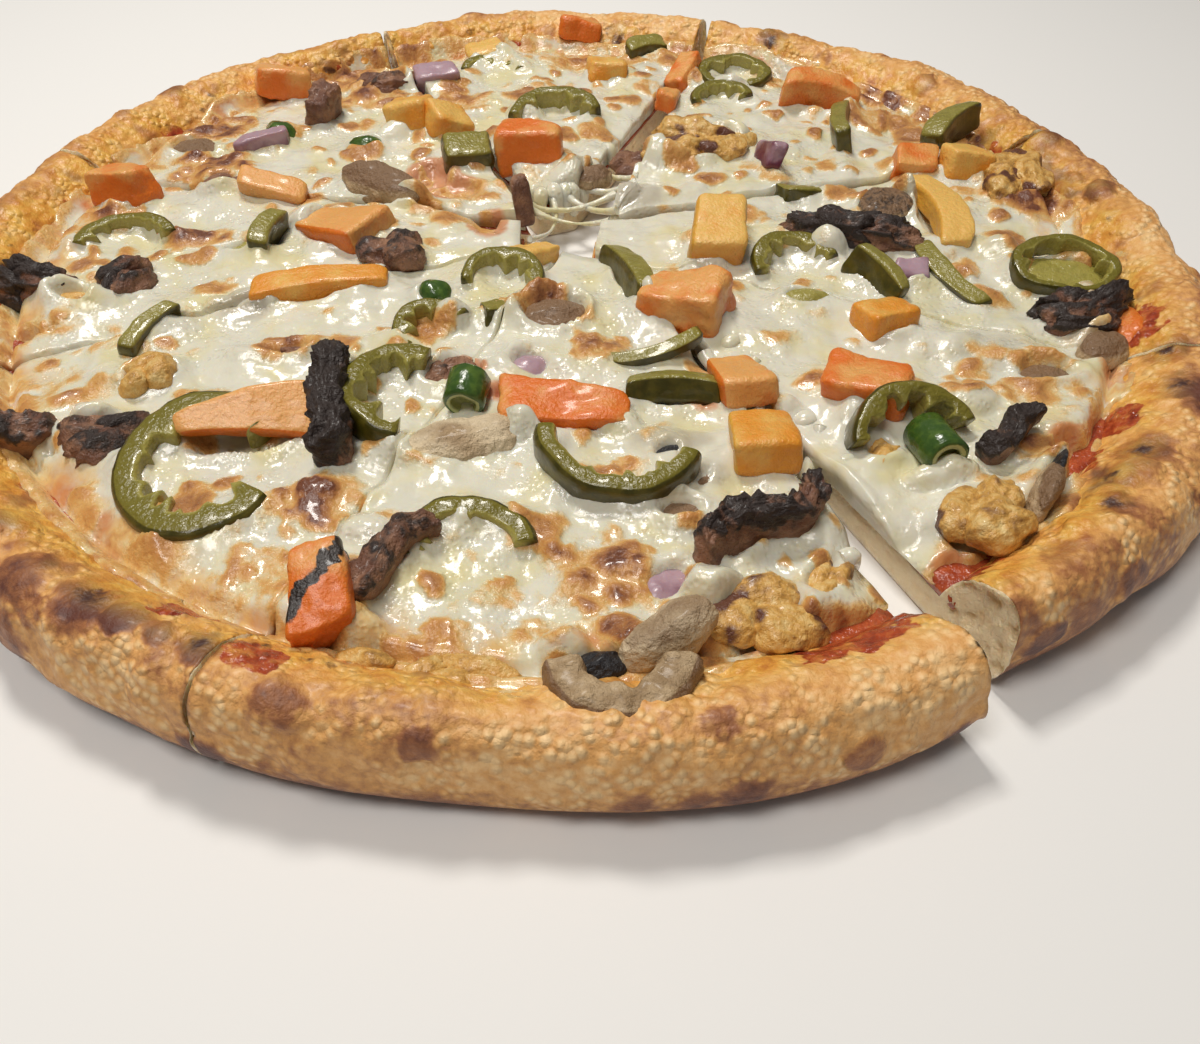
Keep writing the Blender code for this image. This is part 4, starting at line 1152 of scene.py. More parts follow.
@dataclass
class CheeseTop:
    """The cheese's top over plan points: its height, and how it is coloured there."""

    part: Slice
    plan: Array
    noise: Noise

    def __post_init__(self) -> None:
        """Pour the cheese, before anything lifts or browns it."""
        noise = self.noise
        self.x, self.y = self.plan.T
        self.radius = np.hypot(self.x, self.y)
        self.angle = np.degrees(np.arctan2(self.y, self.x))
        self.first, self.last = self.part.inward(self.plan, True)
        self.spots = spots = flat_points(self.x, self.y)
        self.ring = flat_points(self.angle * 2.2, np.zeros(len(self.x)))
        self.ragged = 0.35 * noise.hills(spots, 6.0, 3)
        self.bent = noise.warp(spots, 6.0, 1.9)
        self.knobs = noise.domes(self.bent + 250.0, 5.2, 0.50)
        height = CHEESE_Z - 0.3 + 1.3 * noise.wave(spots, 19.0) + 1.0 * noise.wave(spots, 9.5)
        height += 0.33 * noise.wave(spots, 4.6) + 0.12 * noise.wave(spots, 2.2)
        height += 0.5 * np.abs(noise.wave(spots * np.array((1.0, 0.5, 1.0)), 8.0))
        height += 0.6 * noise.domes(spots, 8.0, 0.45) * smooth(noise.wave(spots, 25.0), -0.3, 0.4)
        self.height = height
        self.brown, self.grey = np.zeros((2, len(self.x)))
        self.gold = smooth(self.radius, RIM_FOOT - 18.0, RIM_FOOT + 1.0)
        self.gold *= 0.60 + 0.8 * noise.hills(spots, 13.0, 2)
        self.red = smooth(self.radius, RIM_FOOT - 12.0, RIM_FOOT + 1.0)
        self.red *= 0.25 + 0.9 * noise.hills(spots + 9.0, 10.0, 3)

    def bake(self) -> None:
        """Brown and blister the cheese in patches, in small spots and towards the rim."""
        noise, spots, knobs = self.noise, self.spots, self.knobs
        for row in BROWNED:
            inside = 1.70 - blob(*self.bent[:, :2].T, row) + self.ragged * 2.6
            patch = np.clip(inside, 0.0, 1.0)
            self.height += (0.5 + 0.9 * knobs) * patch ** 0.6 * row[5]
            self.brown = np.maximum(self.brown, row[5] * patch * (0.45 + 0.75 * knobs))
        small = np.maximum(noise.domes(self.bent + 400.0, 9.0, 0.26),
                           noise.domes(self.bent + 860.0, 17.0, 0.27))
        crowd = noise.wave(spots + 31.0, 34.0) + 0.35 * smooth(self.y, -20.0, 90.0)
        speckle = smooth(small + 0.5 * self.ragged, 0.25, 0.95) * smooth(crowd, -0.25, 0.3)
        self.height += 0.9 * speckle
        self.brown = np.maximum(self.brown, 0.85 * speckle)
        rimward = smooth(self.radius, RIM_FOOT - 22.0, RIM_FOOT)
        toasted = rimward * smooth(noise.hills(spots + 500.0, 9.0, 3), -0.1, 0.7)
        self.brown = np.maximum(self.brown, toasted * (0.30 + 0.70 * knobs))
        self.height += 0.8 * toasted * knobs
        self.height += 0.25 * noise.hills(spots + 77.0, 2.4, 2) * np.clip(self.brown, 0.0, 1.0)

    def drape(self, beds: list["Topping"]) -> None:
        """Lay the cheese over what is under it, and round and over the toppings."""
        for row in MOUNDS:
            oval = blob(self.x, self.y, row)
            dome = np.clip(1.0 - oval + 0.3 * self.ragged, 0.0, 1.0)
            self.height += row[5] * dome ** 0.7
            self.grey = np.maximum(self.grey, row[6] * np.clip(1.3 - oval, 0.0, 1.0))
        laps = np.zeros(len(self.x))
        for row in LAPS:
            dome = np.clip(1.0 - blob(self.x, self.y, row) + 0.3 * self.ragged, 0.0, 1.0)
            laps = np.maximum(laps, row[5] * dome ** 0.6)
        sway = 1.3 * self.noise.wave(self.spots + 640.0, 7.0)
        lap = 1.1 + 1.0 * self.noise.wave(self.spots + 680.0, 9.0)
        for topping in beds:
            away = topping.away(self.x, self.y) + sway
            self.height += topping.melt * lap * np.exp(-np.clip(away, 0.0, None) / 2.0)
            self.height -= (2.2 + topping.melt * lap) * smooth(away, -0.5, -3.0)
            self.grey = np.maximum(self.grey, 0.42 * np.exp(-np.clip(away, 0.0, None) / 2.2))
        self.height += laps

    def thin(self) -> None:
        """Let the cheese sink at the cuts, near the rim and where the sauce shows."""
        fall = self.part.open_start * np.exp(-self.first / 2.2)
        self.height -= fall + self.part.open_end * np.exp(-self.last / 2.2)
        bare = self.noise.wave(self.ring, 22.0) + 0.6 * self.noise.wave(self.ring, 7.0)
        bare = smooth(bare + self.ragged, 0.45, 1.0)
        share = smooth(self.radius + 9.0 * bare, RIM_FOOT + 4.0, RIM_FOOT - 3.0)
        for row in BARE:
            oval = blob(self.x, self.y, row)
            inside = np.clip(1.25 - oval + self.ragged * 1.2, 0.0, 1.0)
            self.height -= row[5] * smooth(inside, 0.0, 0.8)
            self.red = np.maximum(self.red, 0.9 * smooth(oval, 3.0, 1.0))
        base = SAUCE_Z - 0.9
        share[self.radius >= RIM_FOOT + 1.0] = 1.0
        self.height = base + (self.height - base) * share

    def climb(self) -> None:
        """Let the cheese creep up the rim's inner slope, but not at the wide cuts."""
        radius, knobs = self.radius, self.knobs
        slope = np.array(RIM_SECTION[:6])
        share = (radius - RIM_FOOT) / (reach_at(self.angle) - RIM_FOOT)
        rise = np.interp(share, slope[:, 0], slope[:, 1])
        creep = 3.0 * self.noise.wave(self.ring + 70.0, 24.0) + 1.8 * self.ragged
        creep += 1.6 * smooth(self.y, 20.0, 120.0)
        for row in BARE:
            creep -= 5.0 * smooth(blob(self.x, self.y, row), 4.5, 0.6)
        ends = (self.part.open_start > WIDE_CUT) * np.exp(-self.first / 6.0)
        ends += (self.part.open_end > WIDE_CUT) * np.exp(-self.last / 6.0)
        creep -= 9.0 * ends
        self.height -= 5.0 * ends * smooth(radius, RIM_FOOT - 18.0, RIM_FOOT - 8.0)
        beyond = BRIM + creep - radius
        brim = smooth(beyond, 4.5, 0.5) * smooth(radius, RIM_FOOT - 4.0, RIM_FOOT)
        self.gold = np.maximum(self.gold, 1.3 * brim)
        self.brown = np.maximum(self.brown, brim * (0.15 + 0.50 * knobs))
        over = np.clip(beyond / 1.5, 0.0, 1.0)
        wanted = rise - 1.8 - 7.0 * ends + 2.7 * np.sqrt(over) * (0.85 + 0.3 * knobs)
        self.height += (wanted - self.height) * smooth(radius, RIM_FOOT - 1.5, RIM_FOOT + 4.0)

    def melt(self, beds: list["Topping"]) -> dict[str, Array]:
        """Work out the finished top.

        Args:
            beds: The toppings that lie in the cheese.

        Returns:
            Arrays: height, brown, grey, red and gold.
        """
        self.bake()
        self.drape(beds)
        self.thin()
        self.climb()
        clear = np.ones(len(self.x))
        for row in CLEAN:
            clear *= 1.0 - smooth(blob(*self.bent[:, :2].T, row), 1.7, 0.7)
        height = np.maximum(self.height, CHEESE_UNDER + 0.15)
        return {"height": height, "brown": self.brown * clear, "grey": self.grey * clear,
                "red": self.red * clear, "gold": self.gold * clear}


@dataclass
class Melt:
    """The sauce and the cheese over it."""

    noise: Noise = field(default_factory=lambda: Noise(23))
    sauce_edge: float = 134.0
    sauce_grid: tuple[int, int] = (30, 50)
    cheese_edge: float = 141.0
    cheese_grid: tuple[int, int] = (106, 126)

    def build_cheese(self, part: Slice, beds: list["Topping"],
                     material: Material) -> bpy.types.Object:
        """Make one slice's cheese: its melted top over a flat underside."""
        mesh, across, along = grid_mesh(*self.cheese_grid)
        tip = part.plan(across, np.zeros(len(across)), True)
        rim = part.plan(across, np.full(len(across), self.cheese_edge), False)
        plan = tip + (rim - tip) * (0.012 + 0.988 * along ** 0.85)[:, None]
        melt = CheeseTop(part, plan, self.noise).melt(beds)
        wobble = 0.5 * self.noise.hills(flat_points(*plan.T) + 900.0, 9.0, 2)
        first, last = part.inward(plan, True)
        side = np.where(across < 0.5, 1.0, -1.0)
        spread = side * wobble * np.exp(-np.minimum(first, last) / 4.0)
        middle = 0.5 * (part.start_angle + part.end_angle) + 90.0
        near = np.minimum(*part.inward(plan, False))
        wide = np.where(across < 0.5, part.open_start > WIDE_CUT, part.open_end > WIDE_CUT)
        hem = (0.25 + 3.0 * wide) * smooth(np.hypot(*plan.T), RIM_FOOT - 2.0, RIM_FOOT + 1.0)
        hem *= np.exp(-near / (1.0 + 3.0 * wide))
        loose = min(1.0, 0.5 * (part.open_start + part.open_end))
        spread = spread * loose + side * hem
        plan = plan + spread[:, None] * heading(middle)
        write_places(mesh, np.column_stack((plan, melt["height"])))
        for name in ("brown", "grey", "red", "gold"):
            write_mask(mesh, name, melt[name])
        seal_below(mesh, CHEESE_UNDER)
        return make_piece("melt_" + part.name, mesh, [material], ("cheese_" + part.name,))

    def build_sauce(self, part: Slice, material: Material) -> bpy.types.Object:
        """Make one slice's sauce: a thin uneven layer on the dough's floor."""
        mesh, across, along = grid_mesh(*self.sauce_grid)
        tip = part.plan(across, np.zeros(len(across)), False)
        rim = part.plan(across, np.full(len(across), self.sauce_edge), False)
        plan = tip + (rim - tip) * (0.006 + 0.994 * along ** 0.8)[:, None]
        spots = flat_points(*plan.T)
        radius = np.hypot(*plan.T)
        height = SAUCE_Z + 0.35 * self.noise.hills(spots, 6.0, 3)
        banked = smooth(radius, RIM_FOOT - 6.0, RIM_FOOT + 2.0)
        height += 1.8 * banked * (0.7 + 0.6 * self.noise.wave(spots, 12.0))
        first, last = part.inward(plan, False)
        height -= 0.8 * np.exp(-np.minimum(first, last) / 0.8)
        write_places(mesh, np.column_stack((plan, np.maximum(height, FLOOR_Z + 0.3))))
        seal_below(mesh, FLOOR_Z + 0.05)
        return make_piece("spread_" + part.name, mesh, [material], ("sauce_" + part.name,))


# The toppings


class Kind(Enum):
    """What a topping is."""

    JALAPENO = "jalapeno"
    TOMATO = "tomato"
    PEPPER = "sweet_pepper"
    MEAT = "roast_meat"
    CHICKEN = "chicken"
    MUSHROOM = "mushroom"
    CHILLI = "green_chilli"
    ONION = "red_onion"


class Form(Enum):
    """How a topping is cut."""

    RING = "ring"
    BLOCK = "block"
    STRIP = "strip"
    LUMP = "lump"
    TUBE = "tube"


@dataclass
class Topping:
    """One topping: what it is, how it is cut, where it lies and how it is turned."""

    kind: Kind
    form: Form
    place: tuple[float, float, float]
    size: tuple[float, float, float]
    turn: float = 0.0
    tilt_x: float = 0.0
    tilt_y: float = 0.0
    node: str = ""
    sweep: tuple[float, float] = (0.0, 360.0)
    bend: float = 0.0
    taper: float = 1.0
    rough: float = 0.5
    char: float = 0.0
    tint: float = 0.5
    melt: float = 1.7

    def away(self, x: Array, y: Array) -> Array:
        """Return about how far plan points are outside the topping, in millimetres."""
        if self.form is Form.RING:
            angle = math.radians(self.turn)
            dx = x - self.place[0]
            dy = y - self.place[1]
            along = dx * math.cos(angle) + dy * math.sin(angle)
            beside = (dy * math.cos(angle) - dx * math.sin(angle)) / max(self.taper, 0.3)
            radius = np.hypot(along, beside)
            middle = self.size[0] - 0.5 * self.size[1]
            ring = np.abs(radius - middle) - 0.5 * self.size[1]
            polar = np.degrees(np.arctan2(beside, along))
            centre = 0.5 * (self.sweep[0] + self.sweep[1])
            off = np.abs((polar - centre + 180.0) % 360.0 - 180.0)
            beyond = np.clip(off - 0.5 * (self.sweep[1] - self.sweep[0]), 0.0, None)
            return np.maximum(ring, np.radians(beyond) * middle)
        row = (*self.place[:2], 0.5 * self.size[0], 0.5 * self.size[1], self.turn)
        near = np.sqrt(blob(x, y, row))
        return (near - 1.0) * 0.5 * min(self.size[0], self.size[1])


@dataclass
class Kitchen:
    """Cuts, cooks and lays the toppings."""

    materials: dict[Kind, Material]
    noise: Noise = field(default_factory=lambda: Noise(37))
    large_step: float = 3.6
    small_step: float = 5.5
    ring_corners: int = 22
    strip_cuts: int = 19
    block_cuts: int = 15
    small_cuts: int = 11
    slab_cuts: int = 21
    craggy_cuts: int = 27

    def ring(self, item: Topping, seed: float) -> Mesh:
        """Cut a ring or an arc: size is outer radius, wall and height; taper squeezes Y."""
        radius, wall, height = item.size
        bm = bmesh.new()
        count = self.ring_corners
        verts = []
        for number in range(count):
            angle = 2.0 * math.pi * number / count
            side = math.cos(angle)
            level = math.sin(angle)
            flat = abs(level) ** 0.42 * math.copysign(1.0, level)
            wide = abs(side) ** (0.55 if side > 0 else 0.45) * math.copysign(1.0, side)
            verts.append(bm.verts.new((radius - 0.5 * wall + 0.5 * wall * wide, 0.0,
                                       0.5 * height + 0.5 * height * flat)))
        edges = [bm.edges.new((verts[k - 1], verts[k])) for k in range(count)]
        turn = item.sweep[1] - item.sweep[0]
        step = self.large_step if item.node else self.small_step
        whole = turn >= 360.0
        start = Matrix.Rotation(math.radians(item.sweep[0]), 3, "Z")
        bmesh.ops.rotate(bm, verts=verts, matrix=start)
        bmesh.ops.spin(bm, geom=verts + edges, cent=(0, 0, 0), axis=(0, 0, 1),
                       angle=math.radians(turn), steps=round(turn / step), use_merge=whole)
        bmesh.ops.remove_doubles(bm, verts=bm.verts, dist=0.001)
        if not whole:
            bmesh.ops.holes_fill(bm, edges=bm.edges, sides=0)
        mesh = new_mesh(bm, "ring")
        places = read_places(mesh)
        out = np.hypot(places[:, 0], places[:, 1])
        polar = np.arctan2(places[:, 1], places[:, 0])
        depth = (radius - out) / wall
        spots = flat_points(np.cos(polar) * radius + seed * 9.0, np.sin(polar) * radius)
        teeth = np.clip(self.noise.wave(spots, 4.2) * 1.8 - 0.25, -0.15, 1.0) * (depth > 0.55)
        teeth *= item.kind is Kind.JALAPENO
        inner = smooth(depth, 0.45, 1.0)
        new_out = out - teeth * 3.0 * inner + 0.7 * self.noise.wave(spots, 9.0)
        droop = 0.9 * self.noise.wave(spots + 50.0, 13.0)
        places[:, 0] = np.cos(polar) * new_out
        places[:, 1] = np.sin(polar) * new_out * item.taper
        places[:, 2] += droop + 0.25 * self.noise.wave(places + 30.0, 3.0)
        swell(mesh, places, 0.4 * item.rough * self.noise.hills(places + seed * 31.0, 3.4, 3))
        write_mask(mesh, "tint", item.tint)
        write_mask(mesh, "skin", smooth(depth, 0.26, 0.10))
        write_mask(mesh, "heart", smooth(depth, 0.55, 1.0))
        write_mask(mesh, "gills", item.char * smooth(depth, 0.80, 0.97))
        return mesh

    def cube(self, cuts: int, power: float) -> tuple[Mesh, Array]:
        """Make a finely divided cube of side 1, and its places on a softened one.

        Args:
            cuts: How often each edge is cut.
            power: How sharp the edges stay.

        Returns:
            The mesh, and the softened places.
        """
        bm = bmesh.new()
        bmesh.ops.create_cube(bm, size=1.0)
        bmesh.ops.subdivide_edges(bm, edges=bm.edges[:], cuts=cuts, use_grid_fill=True)
        mesh = new_mesh(bm, "cube")
        unit = read_places(mesh)
        norm = (np.abs(2.0 * unit) ** power).sum(axis=1) ** (1.0 / power)
        return mesh, unit / norm[:, None] * np.max(np.abs(2.0 * unit), axis=1)[:, None]

    def block(self, item: Topping, seed: float) -> Mesh:
        """Cut a diced or sliced piece with softened edges: size is length, width, height."""
        large = self.strip_cuts if item.form is Form.STRIP else self.block_cuts
        mesh, unit = self.cube(large if item.node else self.small_cuts, 8.0)
        along = 2.0 * unit[:, 0]
        narrow = 1.0 + (item.taper - 1.0) * (0.5 + 0.5 * along)
        places = unit * np.array(item.size)
        places[:, 1] *= narrow
        places[:, 2] *= 0.5 + 0.5 * narrow
        places[:, 0] += 0.22 * places[:, 1] * math.sin(seed * 7.0)
        places[:, 1] += 0.16 * places[:, 2] * math.cos(seed * 5.0)
        places[:, 1] += item.bend * (1.0 - along ** 2)
        places[:, 2] -= 0.35 * abs(item.bend) * along ** 2
        shift = places + seed * 31.0
        lift = 0.9 * self.noise.wave(shift, 11.0) + 0.40 * self.noise.wave(shift, 4.0)
        lift += 0.22 * self.noise.wave(shift, 1.8)
        lift += 0.5 * (self.noise.ridges(shift, 5.0, 3) - 0.5)
        swell(mesh, places, lift * (0.5 + item.rough))
        skin = smooth(unit[:, 1], 0.40, 0.47) * 0.9
        if item.kind is Kind.JALAPENO:
            skin = smooth(unit[:, 2], 0.44, 0.38)
            write_mask(mesh, "heart", 0.6 * smooth(unit[:, 2], 0.38, 0.46))
        write_mask(mesh, "skin", skin)
        tint = item.tint + 0.6 * self.noise.wave(shift, 7.0) - 0.6 * unit[:, 2]
        write_mask(mesh, "tint", tint)
        slant = unit[:, 0] + 0.8 * unit[:, 1] - 0.05 + 0.24 * self.noise.hills(shift, 6.0, 3)
        burnt = smooth(np.abs(slant), 0.24, 0.10) * smooth(unit[:, 0], -0.45, -0.2)
        write_mask(mesh, "char", 1.6 * item.char * burnt)
        return mesh

    def lump(self, item: Topping, seed: float) -> Mesh:
        """Tear a chunk: size is length, width and height; rough deepens its crags."""
        parts = 3 if item.rough >= 0.5 and max(item.size) > 11.0 else 1
        rng = np.random.default_rng(round(seed * 100))
        level = 5 if max(item.size) > (15.5 if parts > 1 else 13.5) else 4
        joined = bmesh.new()
        for number in range(parts):
            bm = bmesh.new()
            bmesh.ops.create_icosphere(bm, subdivisions=level, radius=0.5)
            mesh = new_mesh(bm, "lump")
            unit = read_places(mesh)
            size = np.array(item.size)
            shift = unit * size + seed * 31.0 + number * 17.0
            grain = shift * np.array((0.35, 1.0, 1.0))
            crest = self.noise.ridges(grain, 6.0, 4)
            bulge = 1.0 + (0.2 + 0.2 * min(1.0, item.rough)) * self.noise.wave(shift, 8.5)
            chicken = item.kind is Kind.CHICKEN
            bulge += item.rough * (0.45 if chicken else 0.8) * (crest - 0.55)
            places = unit * (size * bulge[:, None] + 0.7 * self.noise.hills(shift, 3.2, 3)[:, None])
            if parts > 1:
                way = heading(120.0 * number + 50.0 * seed)
                share = np.array((0.72, 0.66, 0.80)) * (0.9 + 0.2 * rng.random(3))
                places = places * share
                lean = Matrix.Rotation(rng.uniform(-0.5, 0.5), 3, "Z").to_3x3()
                places = places @ np.array(lean).T
                places[:, :2] += way * size[:2] * 0.24
                places[:, 2] += size[2] * rng.uniform(-0.06, 0.14)
            places[:, 2] = np.maximum(places[:, 2], -0.40 * size[2])
            write_places(mesh, places)
            char = item.char * (0.45 + 1.1 * (crest - 0.45) + 0.9 * unit[:, 2])
            if chicken:
                char = item.char * 2.2 * smooth(self.noise.wave(shift, 9.0), 0.1, 0.6)
            char += item.char * 0.5 * self.noise.wave(shift, 6.0)
            write_mask(mesh, "char", np.clip(char, 0.0, 1.3))
            fleshy = item.kind in (Kind.JALAPENO, Kind.TOMATO)
            peel = min(1.0, 2.0 * item.tint) * smooth(unit[:, 2], 0.0, 0.4)
            write_mask(mesh, "skin", 0.0 if fleshy else peel)
            write_mask(mesh, "heart", 0.0 if item.kind is Kind.CHILLI else 0.8)
            write_mask(mesh, "tint", item.tint + 0.5 * self.noise.wave(shift, 7.0))
            write_mask(mesh, "gills", item.char)
            joined.from_mesh(mesh)
        joined.to_mesh(mesh)
        joined.free()
        return mesh

    def slab(self, item: Topping, seed: float) -> Mesh:
        """Sear an upright or flat slab of meat with a serrated, folded top."""
        mesh, unit = self.cube(self.craggy_cuts if item.rough > 1.2 else self.slab_cuts, 5.0)
        size = np.array(item.size)
        places = unit * size
        shift = places + seed * 31.0
        along = 2.0 * unit[:, 0]
        places[:, 1] += item.bend * np.sin(along * 2.6) + 1.8 * self.noise.wave(shift, 11.0)
        places[:, 1] *= 1.0 + (item.taper - 1.0) * (0.5 + 0.5 * along)
        grooves = self.noise.ridges(shift * np.array((1.0, 0.35, 0.35)), 2.8, 3)
        crest = self.noise.ridges(shift, 4.0, 4)
        top = smooth(unit[:, 2], 0.0, 0.5)
        lift = (0.6 * grooves + 0.6 * crest - 0.6) * (1.0 + 1.6 * top) * item.rough
        places = swell(mesh, places, lift)
        notch = self.noise.wave(flat_points(shift[:, 0], 0.0 * along), 4.0)
        places[:, 2] += top * item.rough * (1.6 * notch + 1.2 * (crest - 0.5))
        write_places(mesh, places)
        char = item.char * (0.15 + 0.75 * top + 0.9 * (grooves - 0.5))
        char += 0.5 * item.char * self.noise.wave(shift, 7.0)
        write_mask(mesh, "char", np.clip(char, 0.0, 1.3))
        return mesh

    def tube(self, item: Topping, seed: float) -> Mesh:
        """Cut a length of chilli, along X: size is its radius, wall and length."""
        radius, wall, length = item.size
        bm = bmesh.new()
        profile = ((radius - wall, 0.0), (radius - 0.6, 0.0), (radius, 0.6), (radius, length - 0.6),
                   (radius - 0.6, length), (radius - wall, length), (radius - wall, length - 2.2),
                   (0.01, length - 2.6), (0.01, 2.6), (radius - wall, 2.2))
        verts = [bm.verts.new((level - 0.5 * length, out, 0.0)) for out, level in profile]
        edges = [bm.edges.new(pair) for pair in zip(verts, verts[1:] + verts[:1])]
        bmesh.ops.subdivide_edges(bm, edges=edges, cuts=2)
        bmesh.ops.spin(bm, geom=bm.verts[:] + bm.edges[:], cent=(0, 0, 0), axis=(1, 0, 0),
                       angle=2.0 * math.pi, steps=30, use_merge=True)
        bmesh.ops.remove_doubles(bm, verts=bm.verts, dist=0.05)
        mesh = new_mesh(bm, "tube")
        places = read_places(mesh)
        out = np.hypot(places[:, 1], places[:, 2])
        shift = places + seed * 31.0
        push = 0.5 * self.noise.wave(shift, 4.0) + 0.2 * self.noise.wave(shift, 1.5)
        places[:, 1:] *= (1.0 + 0.10 * push)[:, None]
        places[:, 0] += 0.5 * push
        write_places(mesh, places)
        write_mask(mesh, "heart", smooth(out, radius - 0.7, radius - 1.3))
        return mesh

    def lay(self, item: Topping, index: int) -> Mesh:
        """Cut a topping and lay it in its place.

        Args:
            item: The topping.
            index: Its number, which makes its shape its own.

        Returns:
            Its mesh, in millimetres in the pizza's frame.
        """
        seed = 1.0 + index * 1.37
        if item.form is Form.RING:
            mesh = self.ring(item, seed)
        elif item.form is Form.LUMP:
            mesh = self.lump(item, seed)
        elif item.form is Form.TUBE:
            mesh = self.tube(item, seed)
        elif item.kind is Kind.MEAT:
            mesh = self.slab(item, seed)
        else:
            mesh = self.block(item, seed)
        close_and_smooth(mesh)
        turn = Matrix.Rotation(math.radians(item.turn), 4, "Z")
        loose = not item.node and item.form in (Form.BLOCK, Form.STRIP)
        sway = (15.0 * math.sin(3.1 * seed), 13.0 * math.cos(2.3 * seed)) if loose else (0.0, 0.0)
        tilt = Matrix.Rotation(math.radians(item.tilt_y + sway[0]), 4, "Y")
        roll = Matrix.Rotation(math.radians(item.tilt_x + sway[1]), 4, "X")
        mesh.transform(turn @ tilt @ roll)
        places = read_places(mesh)
        low = places[:, 2].min()
        tall = min(1.0, (TOPPING_TOP - item.place[2]) / (places[:, 2].max() - low))
        places[:, 2] = (places[:, 2] - low) * tall
        write_places(mesh, places + np.array(item.place))
        return mesh

    def serve(self, items: list[Topping]) -> None:
        """Lay all toppings: each that has a solid as its own piece, the rest by kind."""
        groups: dict[tuple[str, Kind], bmesh.types.BMesh] = {}
        for index, item in enumerate(items):
            bm = groups.setdefault((item.node, item.kind), bmesh.new())
            bm.from_mesh(self.lay(item, index))
        for (node, kind), bm in groups.items():
            mesh = new_mesh(bm, kind.value)
            mesh.shade_smooth()
            name = f"dressed_{node}" if node else f"small_{kind.value}"
            nodes = (node,) if node else ()
            make_piece(name, mesh, [self.materials[kind]], nodes)


J, T, P, M, C, S, G, O = (Kind.JALAPENO, Kind.TOMATO, Kind.PEPPER, Kind.MEAT, Kind.CHICKEN,
                          Kind.MUSHROOM, Kind.CHILLI, Kind.ONION)
RING, BLOCK, STRIP, LUMP, TUBE = Form

